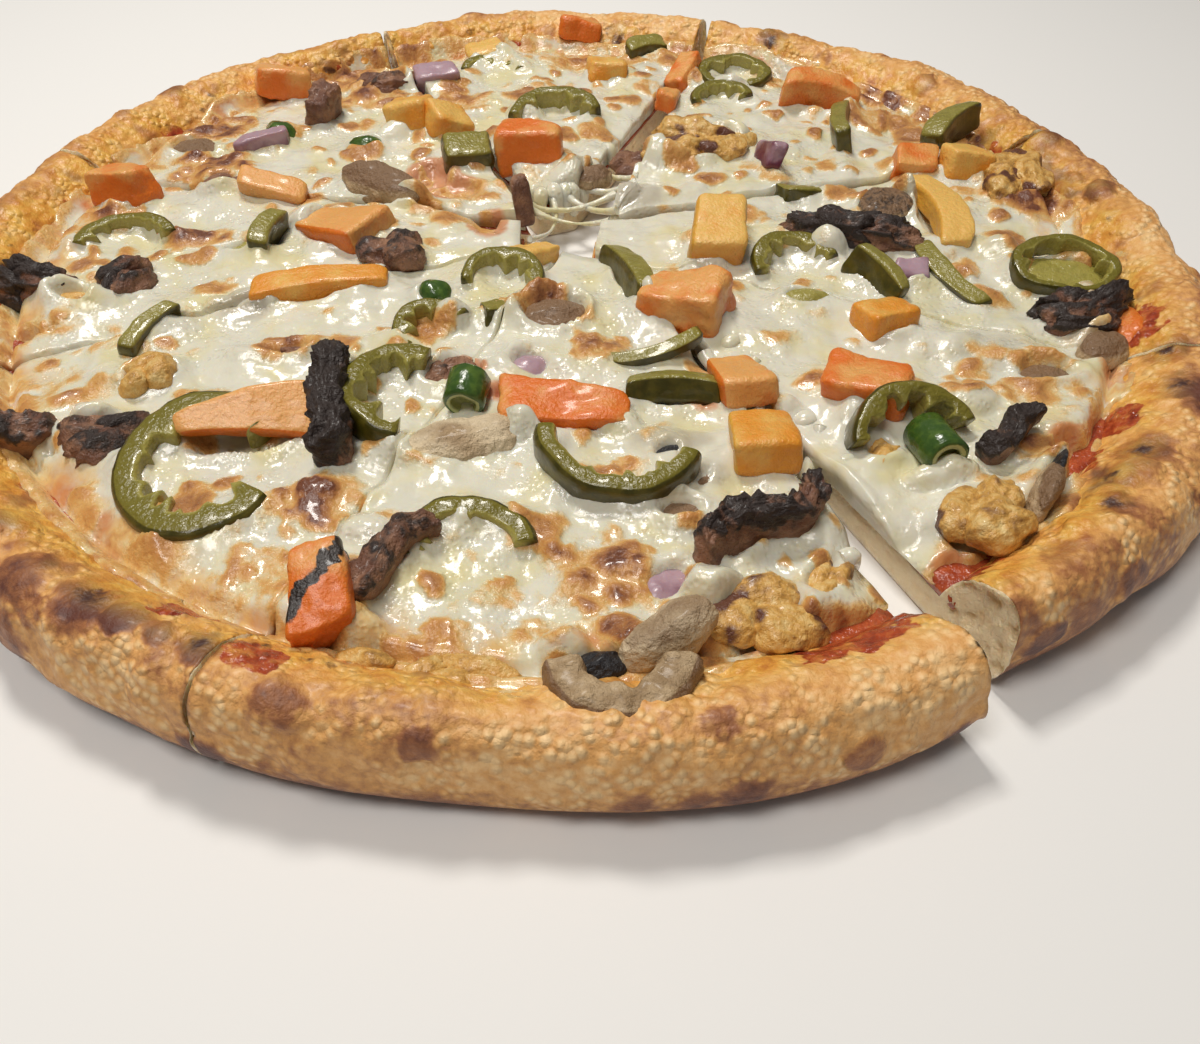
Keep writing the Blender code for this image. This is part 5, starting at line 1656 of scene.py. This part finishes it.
# Each topping's kind, form, place, size, turn and tilts, and the solid that it stands for
TOPPINGS = [
    Topping(J, RING, (-70, -82, 10.2), (16.5, 5.6, 6.0), 0, 6, 0, "jalapeno_left_front",
            sweep=(40, 330), taper=1.16),
    Topping(T, STRIP, (-63, -71, 11.5), (28, 14, 6.0), 192, -30, -4, "tomato_left_front",
            bend=-1.0, taper=0.3, rough=0.0, tint=0.1),
    Topping(M, STRIP, (-48, -66, BED), (33, 7, 15), 92, 0, 0, "charred_left_front",
            bend=1.2, taper=0.85, rough=1.6, char=0.9),
    Topping(M, LUMP, (-93, -72, BED), (15, 13, 9), 20, node="meat_left_front", char=0.5,
            rough=0.8),
    Topping(J, RING, (-34, -63, BED), (14, 4.0, 8.5), 0, 0, 10, "jalapeno_middle_front",
            sweep=(75, 265), taper=1.1),
    Topping(T, BLOCK, (-42, -117, BED), (17, 12, 11), 100, 0, -18, "tomato_front_left",
            taper=0.75, char=0.60, tint=1.0),
    Topping(M, STRIP, (-33, -108, BED), (23, 6, 9), 35, 10, 0, "meat_front_left",
            bend=2.5, taper=0.8, rough=0.8, char=0.45),
    Topping(G, TUBE, (-21, -62, 11.2), (4.4, 1.7, 8.0), 80, 0, -12, "chilli_middle"),
    Topping(S, LUMP, (-20, -75, 11.0), (25, 10, 6), 15, 12, 0, "mushroom_middle", rough=0.35,
            tint=0.1),
    Topping(T, BLOCK, (-1, -67, BED), (27, 14, 8.5), -10, 8, 0, "tomato_middle",
            taper=0.55, rough=0.6, tint=1.0),
    Topping(J, STRIP, (22, -62, 10.2), (20, 8, 6), -2, -28, 0, "jalapeno_arched",
            bend=2.0, taper=0.9, rough=0.1),
    Topping(J, RING, (10, -78, BED), (17, 5, 9.5), 0, 8, 0, "jalapeno_big_front",
            sweep=(178, 332)),
    Topping(T, BLOCK, (36, -59, 10.4), (16, 12, 6.5), 100, 0, 16, "tomato_block_upper",
            taper=0.8, rough=0.1, tint=0.15),
    Topping(P, BLOCK, (38, -79, 10.4), (15, 14, 8), 88, 0, 12, "tomato_block_lower",
            taper=0.9, rough=0.1, tint=0.9),
    Topping(J, RING, (-19, -105, BED), (13, 5.0, 6), 0, 10, 0, "jalapeno_front_arch",
            sweep=(10, 185), taper=0.95),
    Topping(M, STRIP, (34, -103, BED), (27, 6, 12), 38, 0, 0, "charred_front",
            bend=-3.0, taper=0.85, rough=1.5, char=0.6),
    Topping(C, LUMP, (31, -121, BED), (18, 15, 9), 10, node="chicken_front", char=0.5,
            rough=0.5),
    Topping(S, RING, (7, -131, 9.9), (13, 6.5, 9.5), 0, 6, 0, "mushroom_front",
            sweep=(190, 350), char=0.3, rough=1.8, melt=0.4),
    Topping(S, LUMP, (3, -131, 10.6), (11, 6, 6.0), 30, 0, 0, "mushroom_front", rough=0.9,
            char=1.0, melt=0.4),
    Topping(S, LUMP, (15, -127, 11.0), (16, 9, 10), 25, 0, -12, "mushroom_front", rough=0.4,
            tint=0.28),
    Topping(T, BLOCK, (62, -63, BED), (18, 14, 9), -35, 0, -10, "tomato_right_front",
            taper=0.85, rough=0.3, tint=0.85),
    Topping(J, RING, (67, -76, BED), (13, 3.6, 9.0), 8, 30, 0, "jalapeno_right_front",
            sweep=(10, 180), taper=0.9),
    Topping(G, TUBE, (71, -82, 11.0), (4.4, 1.9, 11.0), -80, 0, -8, "chilli_right_front"),
    Topping(M, STRIP, (86, -80, 12.5), (16, 5.0, 6), 30, 0, -14, "charred_right_front",
            bend=0.8, taper=0.7, rough=0.8, char=0.9),
    Topping(C, LUMP, (76, -100, BED), (19, 15, 11), 35, node="chicken_right_front", char=0.45,
            rough=0.5),
    Topping(S, LUMP, (88, -95, BED), (16, 4.5, 11), 60, 18, 0, "mushroom_right_front",
            rough=0.25),
    Topping(S, LUMP, (91, -91, 12.5), (14, 2.6, 8), 60, 18, 0, "mushroom_right_front",
            rough=0.25, char=1.0),
    Topping(J, RING, (119, -19, 10.6), (13.5, 3.4, 5.5), 0, 12, 0, "jalapeno_right", taper=0.72),
    Topping(J, LUMP, (119, -19, 10.8), (20, 13, 3.6), 0, 12, 0, "jalapeno_right", rough=0.2),
    Topping(M, LUMP, (117, -37, BED), (20, 12, 11), 10, node="charred_right", char=0.62,
            rough=1.0),
    Topping(M, LUMP, (74, -1, BED), (27, 12, 13), -8, node="meat_right", char=0.6, rough=1.0),
    Topping(P, STRIP, (95, 9, 12.5), (35, 9, 6), 94, 0, 0, "pepper_right",
            bend=-3.5, taper=0.8, rough=0.1, tint=0.1),
    Topping(P, BLOCK, (38, -3, 10.2), (19, 14, 12), 82, 0, -14, "pepper_centre",
            taper=0.85, rough=0.1, tint=0.45),
    Topping(T, BLOCK, (27, -31, BED), (19, 13, 10), -22, 0, -8, "tomato_centre",
            taper=1.2, rough=0.9, tint=0.5),
    Topping(C, LUMP, (39, 52, BED), (29, 19, 11), 12, node="browned_upper_right", char=0.6,
            rough=0.6),
    Topping(T, BLOCK, (-9, 47, BED), (18, 13, 13), -14, 0, -8, "tomato_top",
            taper=0.45, rough=0.3, tint=0.85),
    Topping(T, BLOCK, (-57, 8, BED), (22, 18, 8), 152, 0, 10, "tomato_left",
            taper=0.55, rough=0.2, tint=0.2),
    Topping(S, LUMP, (-50, 31, BED), (27, 13, 11), -35, node="mushroom_left", rough=0.05),
    Topping(P, STRIP, (-58, -19, BED), (32, 9, 8), 10, 0, 0, "pepper_left",
            bend=1.0, taper=0.8, rough=0.1, tint=1.0),
    Topping(M, LUMP, (-126, -17, BED), (18, 11, 11), 0, node="charred_left", char=0.75,
            rough=1.0),
    Topping(M, LUMP, (-105, -16, BED), (14, 9, 10), 70, node="charred_left", char=0.5,
            rough=1.0),
    # Those that are fused to the cheese's solid
    Topping(M, STRIP, (-110, -71, BED), (15, 7, 8), 10, char=0.6, rough=0.8),
    Topping(C, LUMP, (-89, -52, BED), (12, 10, 9), 60, char=0.1, rough=0.9),
    Topping(J, STRIP, (-93, -36, BED), (17, 4, 7), 65, bend=1.0, rough=0.1),
    Topping(J, BLOCK, (-16, -31, BED), (8, 7, 6), 30),
    Topping(J, RING, (-15, -17, BED), (10, 3.4, 6.5), 0, 8, 0, sweep=(-30, 190)),
    Topping(G, LUMP, (-31, -22, 11.0), (8, 8, 7), rough=0.05),
    Topping(S, LUMP, (-3, -32, 8.9), (20, 14, 8), 12, rough=0.2),
    Topping(J, STRIP, (14, -18, BED), (25, 5, 8), -72, bend=1.5, rough=0.1),
    Topping(J, STRIP, (19, -47, 12.3), (21, 3.4, 2.6), 14, bend=-2.5, rough=0.0),
    Topping(S, LUMP, (20, -96, 8.4), (12, 9, 7), rough=0.1),
    Topping(O, LUMP, (17, -113, 9.6), (12, 9, 5), 20, tint=0.3, rough=0.3),
    Topping(P, BLOCK, (72, -37, BED), (13, 11, 8), 20, 0, 16, taper=0.85, rough=0.2, tint=1.0),
    Topping(S, LUMP, (103, -56, 8.6), (15, 11, 5.5), rough=0.1),
    Topping(J, RING, (56, -12, BED), (11, 3.6, 6.0), 0, 10, 0, sweep=(10, 200)),
    Topping(J, LUMP, (56, -26, BED), (12, 8, 6), rough=0.3),
    Topping(J, STRIP, (73, -22, BED), (17, 4, 9), -60, bend=1.0, rough=0.1),
    Topping(O, BLOCK, (83, -18, BED), (8, 7, 6), tint=0.5),
    Topping(S, LUMP, (84, 14, BED), (17, 14, 10), 20, rough=0.2, char=0.45),
    Topping(T, STRIP, (80, 80, BED), (24, 9, 10), -6, bend=2.5, taper=0.7, rough=0.2, tint=0.8),
    Topping(J, STRIP, (83, 60, BED), (25, 5, 9), 78, bend=1.5, rough=0.1),
    Topping(J, RING, (56, 102, BED), (12, 3.8, 5.5), 0, 10, 0, taper=0.8),
    Topping(J, RING, (50, 84, BED), (10, 3.6, 6.0), 0, 10, 0, sweep=(10, 190)),
    Topping(O, STRIP, (58, 42, 10.5), (14, 4, 7), 100, 0, 14, bend=0.5, tint=0.9, rough=0.1),
    Topping(J, STRIP, (112, 52, BED), (19, 7, 10), 40, bend=2.0, rough=0.2),
    Topping(T, BLOCK, (98, 38, BED), (12, 10, 8), rough=0.2, tint=0.7),
    Topping(P, BLOCK, (112, 36, BED), (13, 9, 9), rough=0.1, tint=0.5),
    Topping(J, RING, (-2, 72, BED), (14, 4.0, 7.5), 0, 12, 0, sweep=(10, 180)),
    Topping(P, BLOCK, (15, 106, BED), (12, 10, 7), tint=0.7),
    Topping(J, RING, (-22, 110, BED), (11, 3.4, 5.0), 0, 10, 0, sweep=(10, 170)),
    Topping(P, BLOCK, (-45, 70, BED), (13, 11, 9), -15, tint=0.6),
    Topping(J, BLOCK, (-27, 47, BED), (13, 11, 8), 10),
    Topping(T, BLOCK, (-87, 95, BED), (16, 12, 9), 12, tint=0.5),
    Topping(M, STRIP, (-72, 75, BED), (13, 7, 13), 80, char=0.3, rough=0.8),
    Topping(G, LUMP, (-83, 64, BED), (10, 10, 9), rough=0.1),
    Topping(T, STRIP, (-78, 29, BED), (18, 7, 6), -8, rough=0.2, tint=0.2),
    Topping(T, BLOCK, (-116, 27, BED), (14, 12, 11), -20, taper=0.8, tint=0.7),
    Topping(J, STRIP, (-74, 3, BED), (15, 5, 9), 78, bend=1.5, rough=0.1),
    Topping(J, RING, (-110, 4, BED), (13, 4.0, 6.0), 0, 10, 0, sweep=(20, 190), taper=0.8),
    Topping(M, LUMP, (-42, -5, BED), (15, 13, 10), 20, char=0.4, rough=0.7),
    # Small ones, half under the cheese
    Topping(M, STRIP, (-11, 19, 9.0), (5, 4, 13), 10, 0, 0, char=0.2, rough=0.3),
    Topping(J, LUMP, (-80, 1, BED), (10, 9, 5), 20, rough=0.3),
    Topping(M, LUMP, (-55, 100, 9.0), (17, 13, 9), 10, char=0.3, rough=0.8),
    Topping(M, LUMP, (-92, 34, 9.0), (15, 11, 7), 30, char=0.2, rough=0.6),
    Topping(S, LUMP, (-106, 55, 9.0), (16, 12, 8), 0, rough=0.2),
    Topping(O, BLOCK, (-40, 104, 9.6), (13, 8, 7), 10, tint=0.3),
    Topping(O, STRIP, (-86, 56, 10.0), (15, 6, 6), 15, tint=0.5),
    Topping(P, BLOCK, (-34, 66, BED), (12, 11, 8), 25, 0, 10, tint=0.5, rough=0.1),
    Topping(G, LUMP, (-57, 57, BED), (10, 8, 7), rough=0.1),
    Topping(P, BLOCK, (-25, 123, BED), (12, 9, 6), 10, tint=0.3),
    Topping(T, BLOCK, (7, 138, 11.0), (14, 9, 7), 0, tint=0.9),
    Topping(J, STRIP, (29, 123, BED), (14, 6, 7), 20, bend=1.5),
    Topping(T, STRIP, (40, 104, BED), (17, 7, 6), 65, tint=0.8),
    Topping(T, STRIP, (33, 84, BED), (12, 6, 6), 75, tint=0.8),
    Topping(M, LUMP, (20, 46, 9.0), (13, 10, 6), 30, char=0.1, rough=0.7),
    Topping(S, LUMP, (8, 38, 9.4), (12, 9, 6), 20, rough=0.2, char=0.2),
    Topping(J, BLOCK, (63, 24, BED), (11, 7, 5), 10),
    Topping(J, STRIP, (93, -19, BED), (26, 5, 6), -68, bend=-2.0, rough=0.1),
    Topping(P, BLOCK, (-8, -5, BED), (12, 11, 6), 30, 0, 20, taper=0.5, tint=0.1),
    Topping(O, LUMP, (-9, -50, BED), (12, 9, 5), 10, tint=0.1, rough=0.3),
    Topping(J, RING, (-30, -38, BED), (9, 3.2, 6.0), 0, 8, 0, sweep=(30, 230)),
    Topping(M, LUMP, (-26, -52, 8.6), (14, 10, 7), 40, char=0.3, rough=0.7),
    Topping(M, LUMP, (-63, -43, 9.3), (15, 6, 5), 8, char=0.1, rough=0.7),
    Topping(C, LUMP, (-21, -131, BED), (19, 7, 6), 8, char=0.1, rough=1.0),
    Topping(C, LUMP, (-34, -130, BED), (12, 7, 6), -20, char=0.15, rough=1.0),
    Topping(S, LUMP, (26, -87, 9.3), (13, 5, 6), 60, rough=0.3),
    Topping(S, LUMP, (19, -80, 11.2), (9, 4.5, 4), 30, rough=0.3, char=1.0),
    Topping(C, LUMP, (44, -113, 9.3), (14, 7, 6), 60, char=0.4, rough=1.0),
    Topping(C, LUMP, (61, -80, 9.0), (12, 8, 6), 60, char=0.1, rough=1.0),
    Topping(T, LUMP, (-70, -118, 9.0), (7, 6, 5), 0, tint=1.0, rough=0.2),
    Topping(T, LUMP, (128, -41, BED), (10, 15, 7), 0, tint=1.0, rough=0.3),
    Topping(S, LUMP, (118, -48, 9.4), (14, 10, 8), 30, rough=0.2),
    Topping(C, LUMP, (124, 30, 10.5), (26, 16, 9), 60, char=0.7, rough=1.0),
    Topping(C, LUMP, (-114, -22, BED), (10, 7, 6), 0, char=0.1, rough=1.0),
]


# Strands and drips of cheese


@dataclass
class Strings:
    """Threads of cheese over the gaps, and drips down the open cut faces."""

    strands: tuple[tuple[tuple[float, float, float, float], ...], ...] = (
        ((-11, 23, 12.8, 1.3), (-4, 20, 10.5, 0.5), (4, 23, 9.5, 0.35), (14, 27, 12.6, 1.3)),
        ((-9, 20, 12.4, 1.0), (-1, 17, 9.0, 0.25), (7, 15, 10.0, 0.3), (12, 13, 12.6, 0.9)),
        ((0, 30, 11.5, 1.4), (5, 25, 9.5, 0.5), (10, 20, 10.5, 0.45), (14, 18, 12.8, 1.3)),
        ((-9, 5, 12.2, 0.9), (-3, 12, 8.5, 0.25), (-1, 20, 8.5, 0.25), (-3, 28, 11.5, 1.0)),
        ((4, 36, 11.5, 1.4), (9, 33, 9.0, 0.6), (15, 31, 11.0, 0.8), (20, 33, 12.8, 1.4)),
        ((8, 46, 11.5, 1.4), (13, 42, 9.5, 0.6), (17, 38, 11.0, 0.7), (21, 37, 12.8, 1.2)),
        ((39, -66, 12.6, 1.6), (42, -77, 8, 1.5), (45, -84, 5, 1.9), (48, -80, 7, 1.5),
         (51, -72, 12.5, 1.6)),
        ((30, -46, 12.6, 1.8), (33, -53, 9.5, 1.3), (38, -54, 9.5, 1.2), (41, -49, 12.6, 1.8)),
        ((24, -34, 12.6, 1.8), (27, -39, 9.5, 1.4), (31, -39, 10.0, 1.4), (34, -35, 12.6, 1.8)),
    )
    drips: tuple[tuple[float, float, float, float, float], ...] = (
        (2.5, 30.5, -60, 6.0, 2.4), (-2, 28.8, -68, 7.0, 2.8), (-6.5, 27, -100, 5.0, 2.4),
        (5, 35, -24, 6.0, 2.2), (9, 44, -24, 5.0, 2.6), (14, 55, -24, 4.0, 2.2),
        (-9, 31, 207, 5.0, 2.0), (0.5, 29.8, -65, 4.5, 2.6), (29.3, -27.4, -157, 5.0, 2.4),
        (35.6, -42.1, -157, 4.0, 2.2), (41.8, -56.9, -157, 6.0, 2.8),
        (47.3, -69.8, -157, 5.0, 2.6), (53.0, -83.0, -157, 4.5, 2.2),
        (43.0, -92.0, 25, 4.0, 2.0), (50.0, -107.0, 25, 5.0, 2.2), (34.0, -73.0, 25, 4.0, 2.2),
    )

    def build(self, material: Material) -> bpy.types.Object:
        """Make all strands and drips as one piece.

        Args:
            material: The cheese's finish.

        Returns:
            The piece.
        """
        curve = bpy.data.curves.new("strings", "CURVE")
        curve.dimensions = "3D"
        curve.bevel_depth = 1.0
        curve.bevel_resolution = 3
        curve.use_fill_caps = True
        paths = list(self.strands)
        for x, y, angle, fall, radius in self.drips:
            way = heading(angle)
            steps = ((-2.5, 12.2, 0.8), (-0.8, 12.3, 1.0), (0.2, 11.2, 0.85),
                     (0.4, 11.2 - 0.6 * fall, 0.65), (0.3, 11.2 - fall, 0.55),
                     (0.2, 10.6 - fall, 0.1))
            paths.append(tuple((x + way[0] * out, y + way[1] * out, z, radius * wide)
                               for out, z, wide in steps))
        for path in paths:
            spline = curve.splines.new("NURBS")
            spline.points.add(len(path) - 1)
            for point, (x, y, z, radius) in zip(spline.points, path):
                point.co = (x, y, z, 1.0)
                point.radius = radius
            spline.order_u = min(4, len(path))
            spline.use_endpoint_u = True
            spline.resolution_u = 6
        holder = bpy.data.objects.new("strings", curve)
        bpy.context.scene.collection.objects.link(holder)
        graph = bpy.context.evaluated_depsgraph_get()
        mesh = bpy.data.meshes.new_from_object(holder.evaluated_get(graph))
        bpy.data.objects.remove(holder)
        bpy.data.curves.remove(curve)
        places = read_places(mesh)
        swell(mesh, places, 0.25 * Noise(51).hills(places, 5.0, 2))
        close_and_smooth(mesh)
        return make_piece("cheese_strings", mesh, [material])


# The stage

# Each light's name, place and size in metres, watts and colour
LIGHTS = (
    ("ceiling", (-0.12, 0.28, 0.75), 0.15, 3.8, (1.0, 0.96, 0.90)),
    ("window", (-0.20, -0.26, 0.80), 0.28, 3.0, (1.0, 0.97, 0.93)),
)
ROOM_LIGHT = 0.12

# The camera's place in metres, its angles in degrees and its lens in millimetres
CAMERA_PLACE = (0.0, -0.2265, 0.1442)
CAMERA_PITCH, CAMERA_YAW, CAMERA_ROLL = 45.54, 2.28, 0.19
LENS, SENSOR = 30.0, 36.0


def look_from(camera: bpy.types.Object, place: tuple[float, float, float], pitch: float,
              yaw: float, roll: float) -> None:
    """Set a camera by its place in metres and its angles in degrees.

    Args:
        camera: The camera's object.
        place: Where it stands.
        pitch: How far it looks down.
        yaw: How far it turns from +Y towards +X.
        roll: How far it rolls to its right.
    """
    down, turn, lean = (math.radians(angle) for angle in (pitch, yaw, roll))
    forward = Vector((math.sin(turn) * math.cos(down), math.cos(turn) * math.cos(down),
                      -math.sin(down)))
    right = forward.cross(Vector((0.0, 0.0, 1.0))).normalized()
    up = right.cross(forward)
    right, up = (right * math.cos(lean) + up * math.sin(lean),
                 up * math.cos(lean) - right * math.sin(lean))
    matrix = Matrix((right, up, -forward)).transposed().to_4x4()
    camera.matrix_world = Matrix.Translation(place) @ matrix


def add_light(name: str, place: tuple[float, float, float], size: float, watts: float,
              colour: Colour) -> None:
    """Hang a square soft light that looks at the pizza."""
    data = bpy.data.lights.new(name, "AREA")
    data.size = size
    data.energy = watts
    data.color = colour
    light = bpy.data.objects.new(name, data)
    way = Vector(place)
    light.matrix_world = Matrix.Translation(way) @ way.to_track_quat("Z", "Y").to_matrix().to_4x4()
    bpy.context.scene.collection.objects.link(light)


def set_stage() -> None:
    """Add the floor, the light and the camera."""
    scene = bpy.context.scene
    bm = bmesh.new()
    bmesh.ops.create_grid(bm, x_segments=1, y_segments=1, size=3.0)
    mesh = new_mesh(bm, "floor")
    floor = bpy.data.objects.new("floor", mesh)
    floor.location = (0.0, 0.0, -0.0003)
    graph = Graph("pale_floor")
    graph.feed(graph.shader.inputs["Base Color"], (0.88, 0.87, 0.85, 1.0))
    graph.feed(graph.shader.inputs["Roughness"], 0.7)
    mesh.materials.append(graph.material)
    scene.collection.objects.link(floor)
    world = bpy.data.worlds.new("room")
    world.use_nodes = True
    sky = world.node_tree.nodes["Background"].inputs
    sky["Color"].default_value = (1.0, 0.98, 0.95, 1.0)
    sky["Strength"].default_value = ROOM_LIGHT
    scene.world = world
    for light in LIGHTS:
        add_light(*light)
    data = bpy.data.cameras.new("camera")
    data.sensor_width = SENSOR
    data.lens = LENS
    data.clip_start = 0.005
    camera = bpy.data.objects.new("camera", data)
    look_from(camera, CAMERA_PLACE, CAMERA_PITCH, CAMERA_YAW, CAMERA_ROLL)
    scene.collection.objects.link(camera)
    scene.camera = camera
    scene.view_settings.view_transform = "Standard"


def main() -> None:
    """Build and dress the pizza."""
    logging.basicConfig(level=logging.INFO)
    set_stage()
    crust_finishes = [CrustFinish().material(), CrumbFinish().material()]
    sauce_finish = SauceFinish().material()
    cheese_finish = CheeseFinish().material()
    finishes = {
        Kind.JALAPENO: JalapenoFinish().material(),
        Kind.TOMATO: FleshFinish("tomato", (0.80, 0.39, 0.11), (0.76, 0.17, 0.012),
                                 (0.70, 0.17, 0.010)).material(),
        Kind.PEPPER: FleshFinish("sweet_pepper", (0.82, 0.49, 0.12), (0.78, 0.30, 0.025),
                                 (0.72, 0.37, 0.045)).material(),
        Kind.MEAT: MeatFinish().material(),
        Kind.CHICKEN: ChickenFinish().material(),
        Kind.MUSHROOM: MushroomFinish().material(),
        Kind.CHILLI: ChilliFinish().material(),
        Kind.ONION: OnionFinish().material(),
    }
    crust = Crust()
    melt = Melt()
    for part in SLICES:
        crust.build(part, crust_finishes)
        melt.build_sauce(part, sauce_finish)
        melt.build_cheese(part, TOPPINGS, cheese_finish)
    Kitchen(finishes).serve(TOPPINGS)
    Strings().build(cheese_finish)


if __name__ == "__main__":
    main()
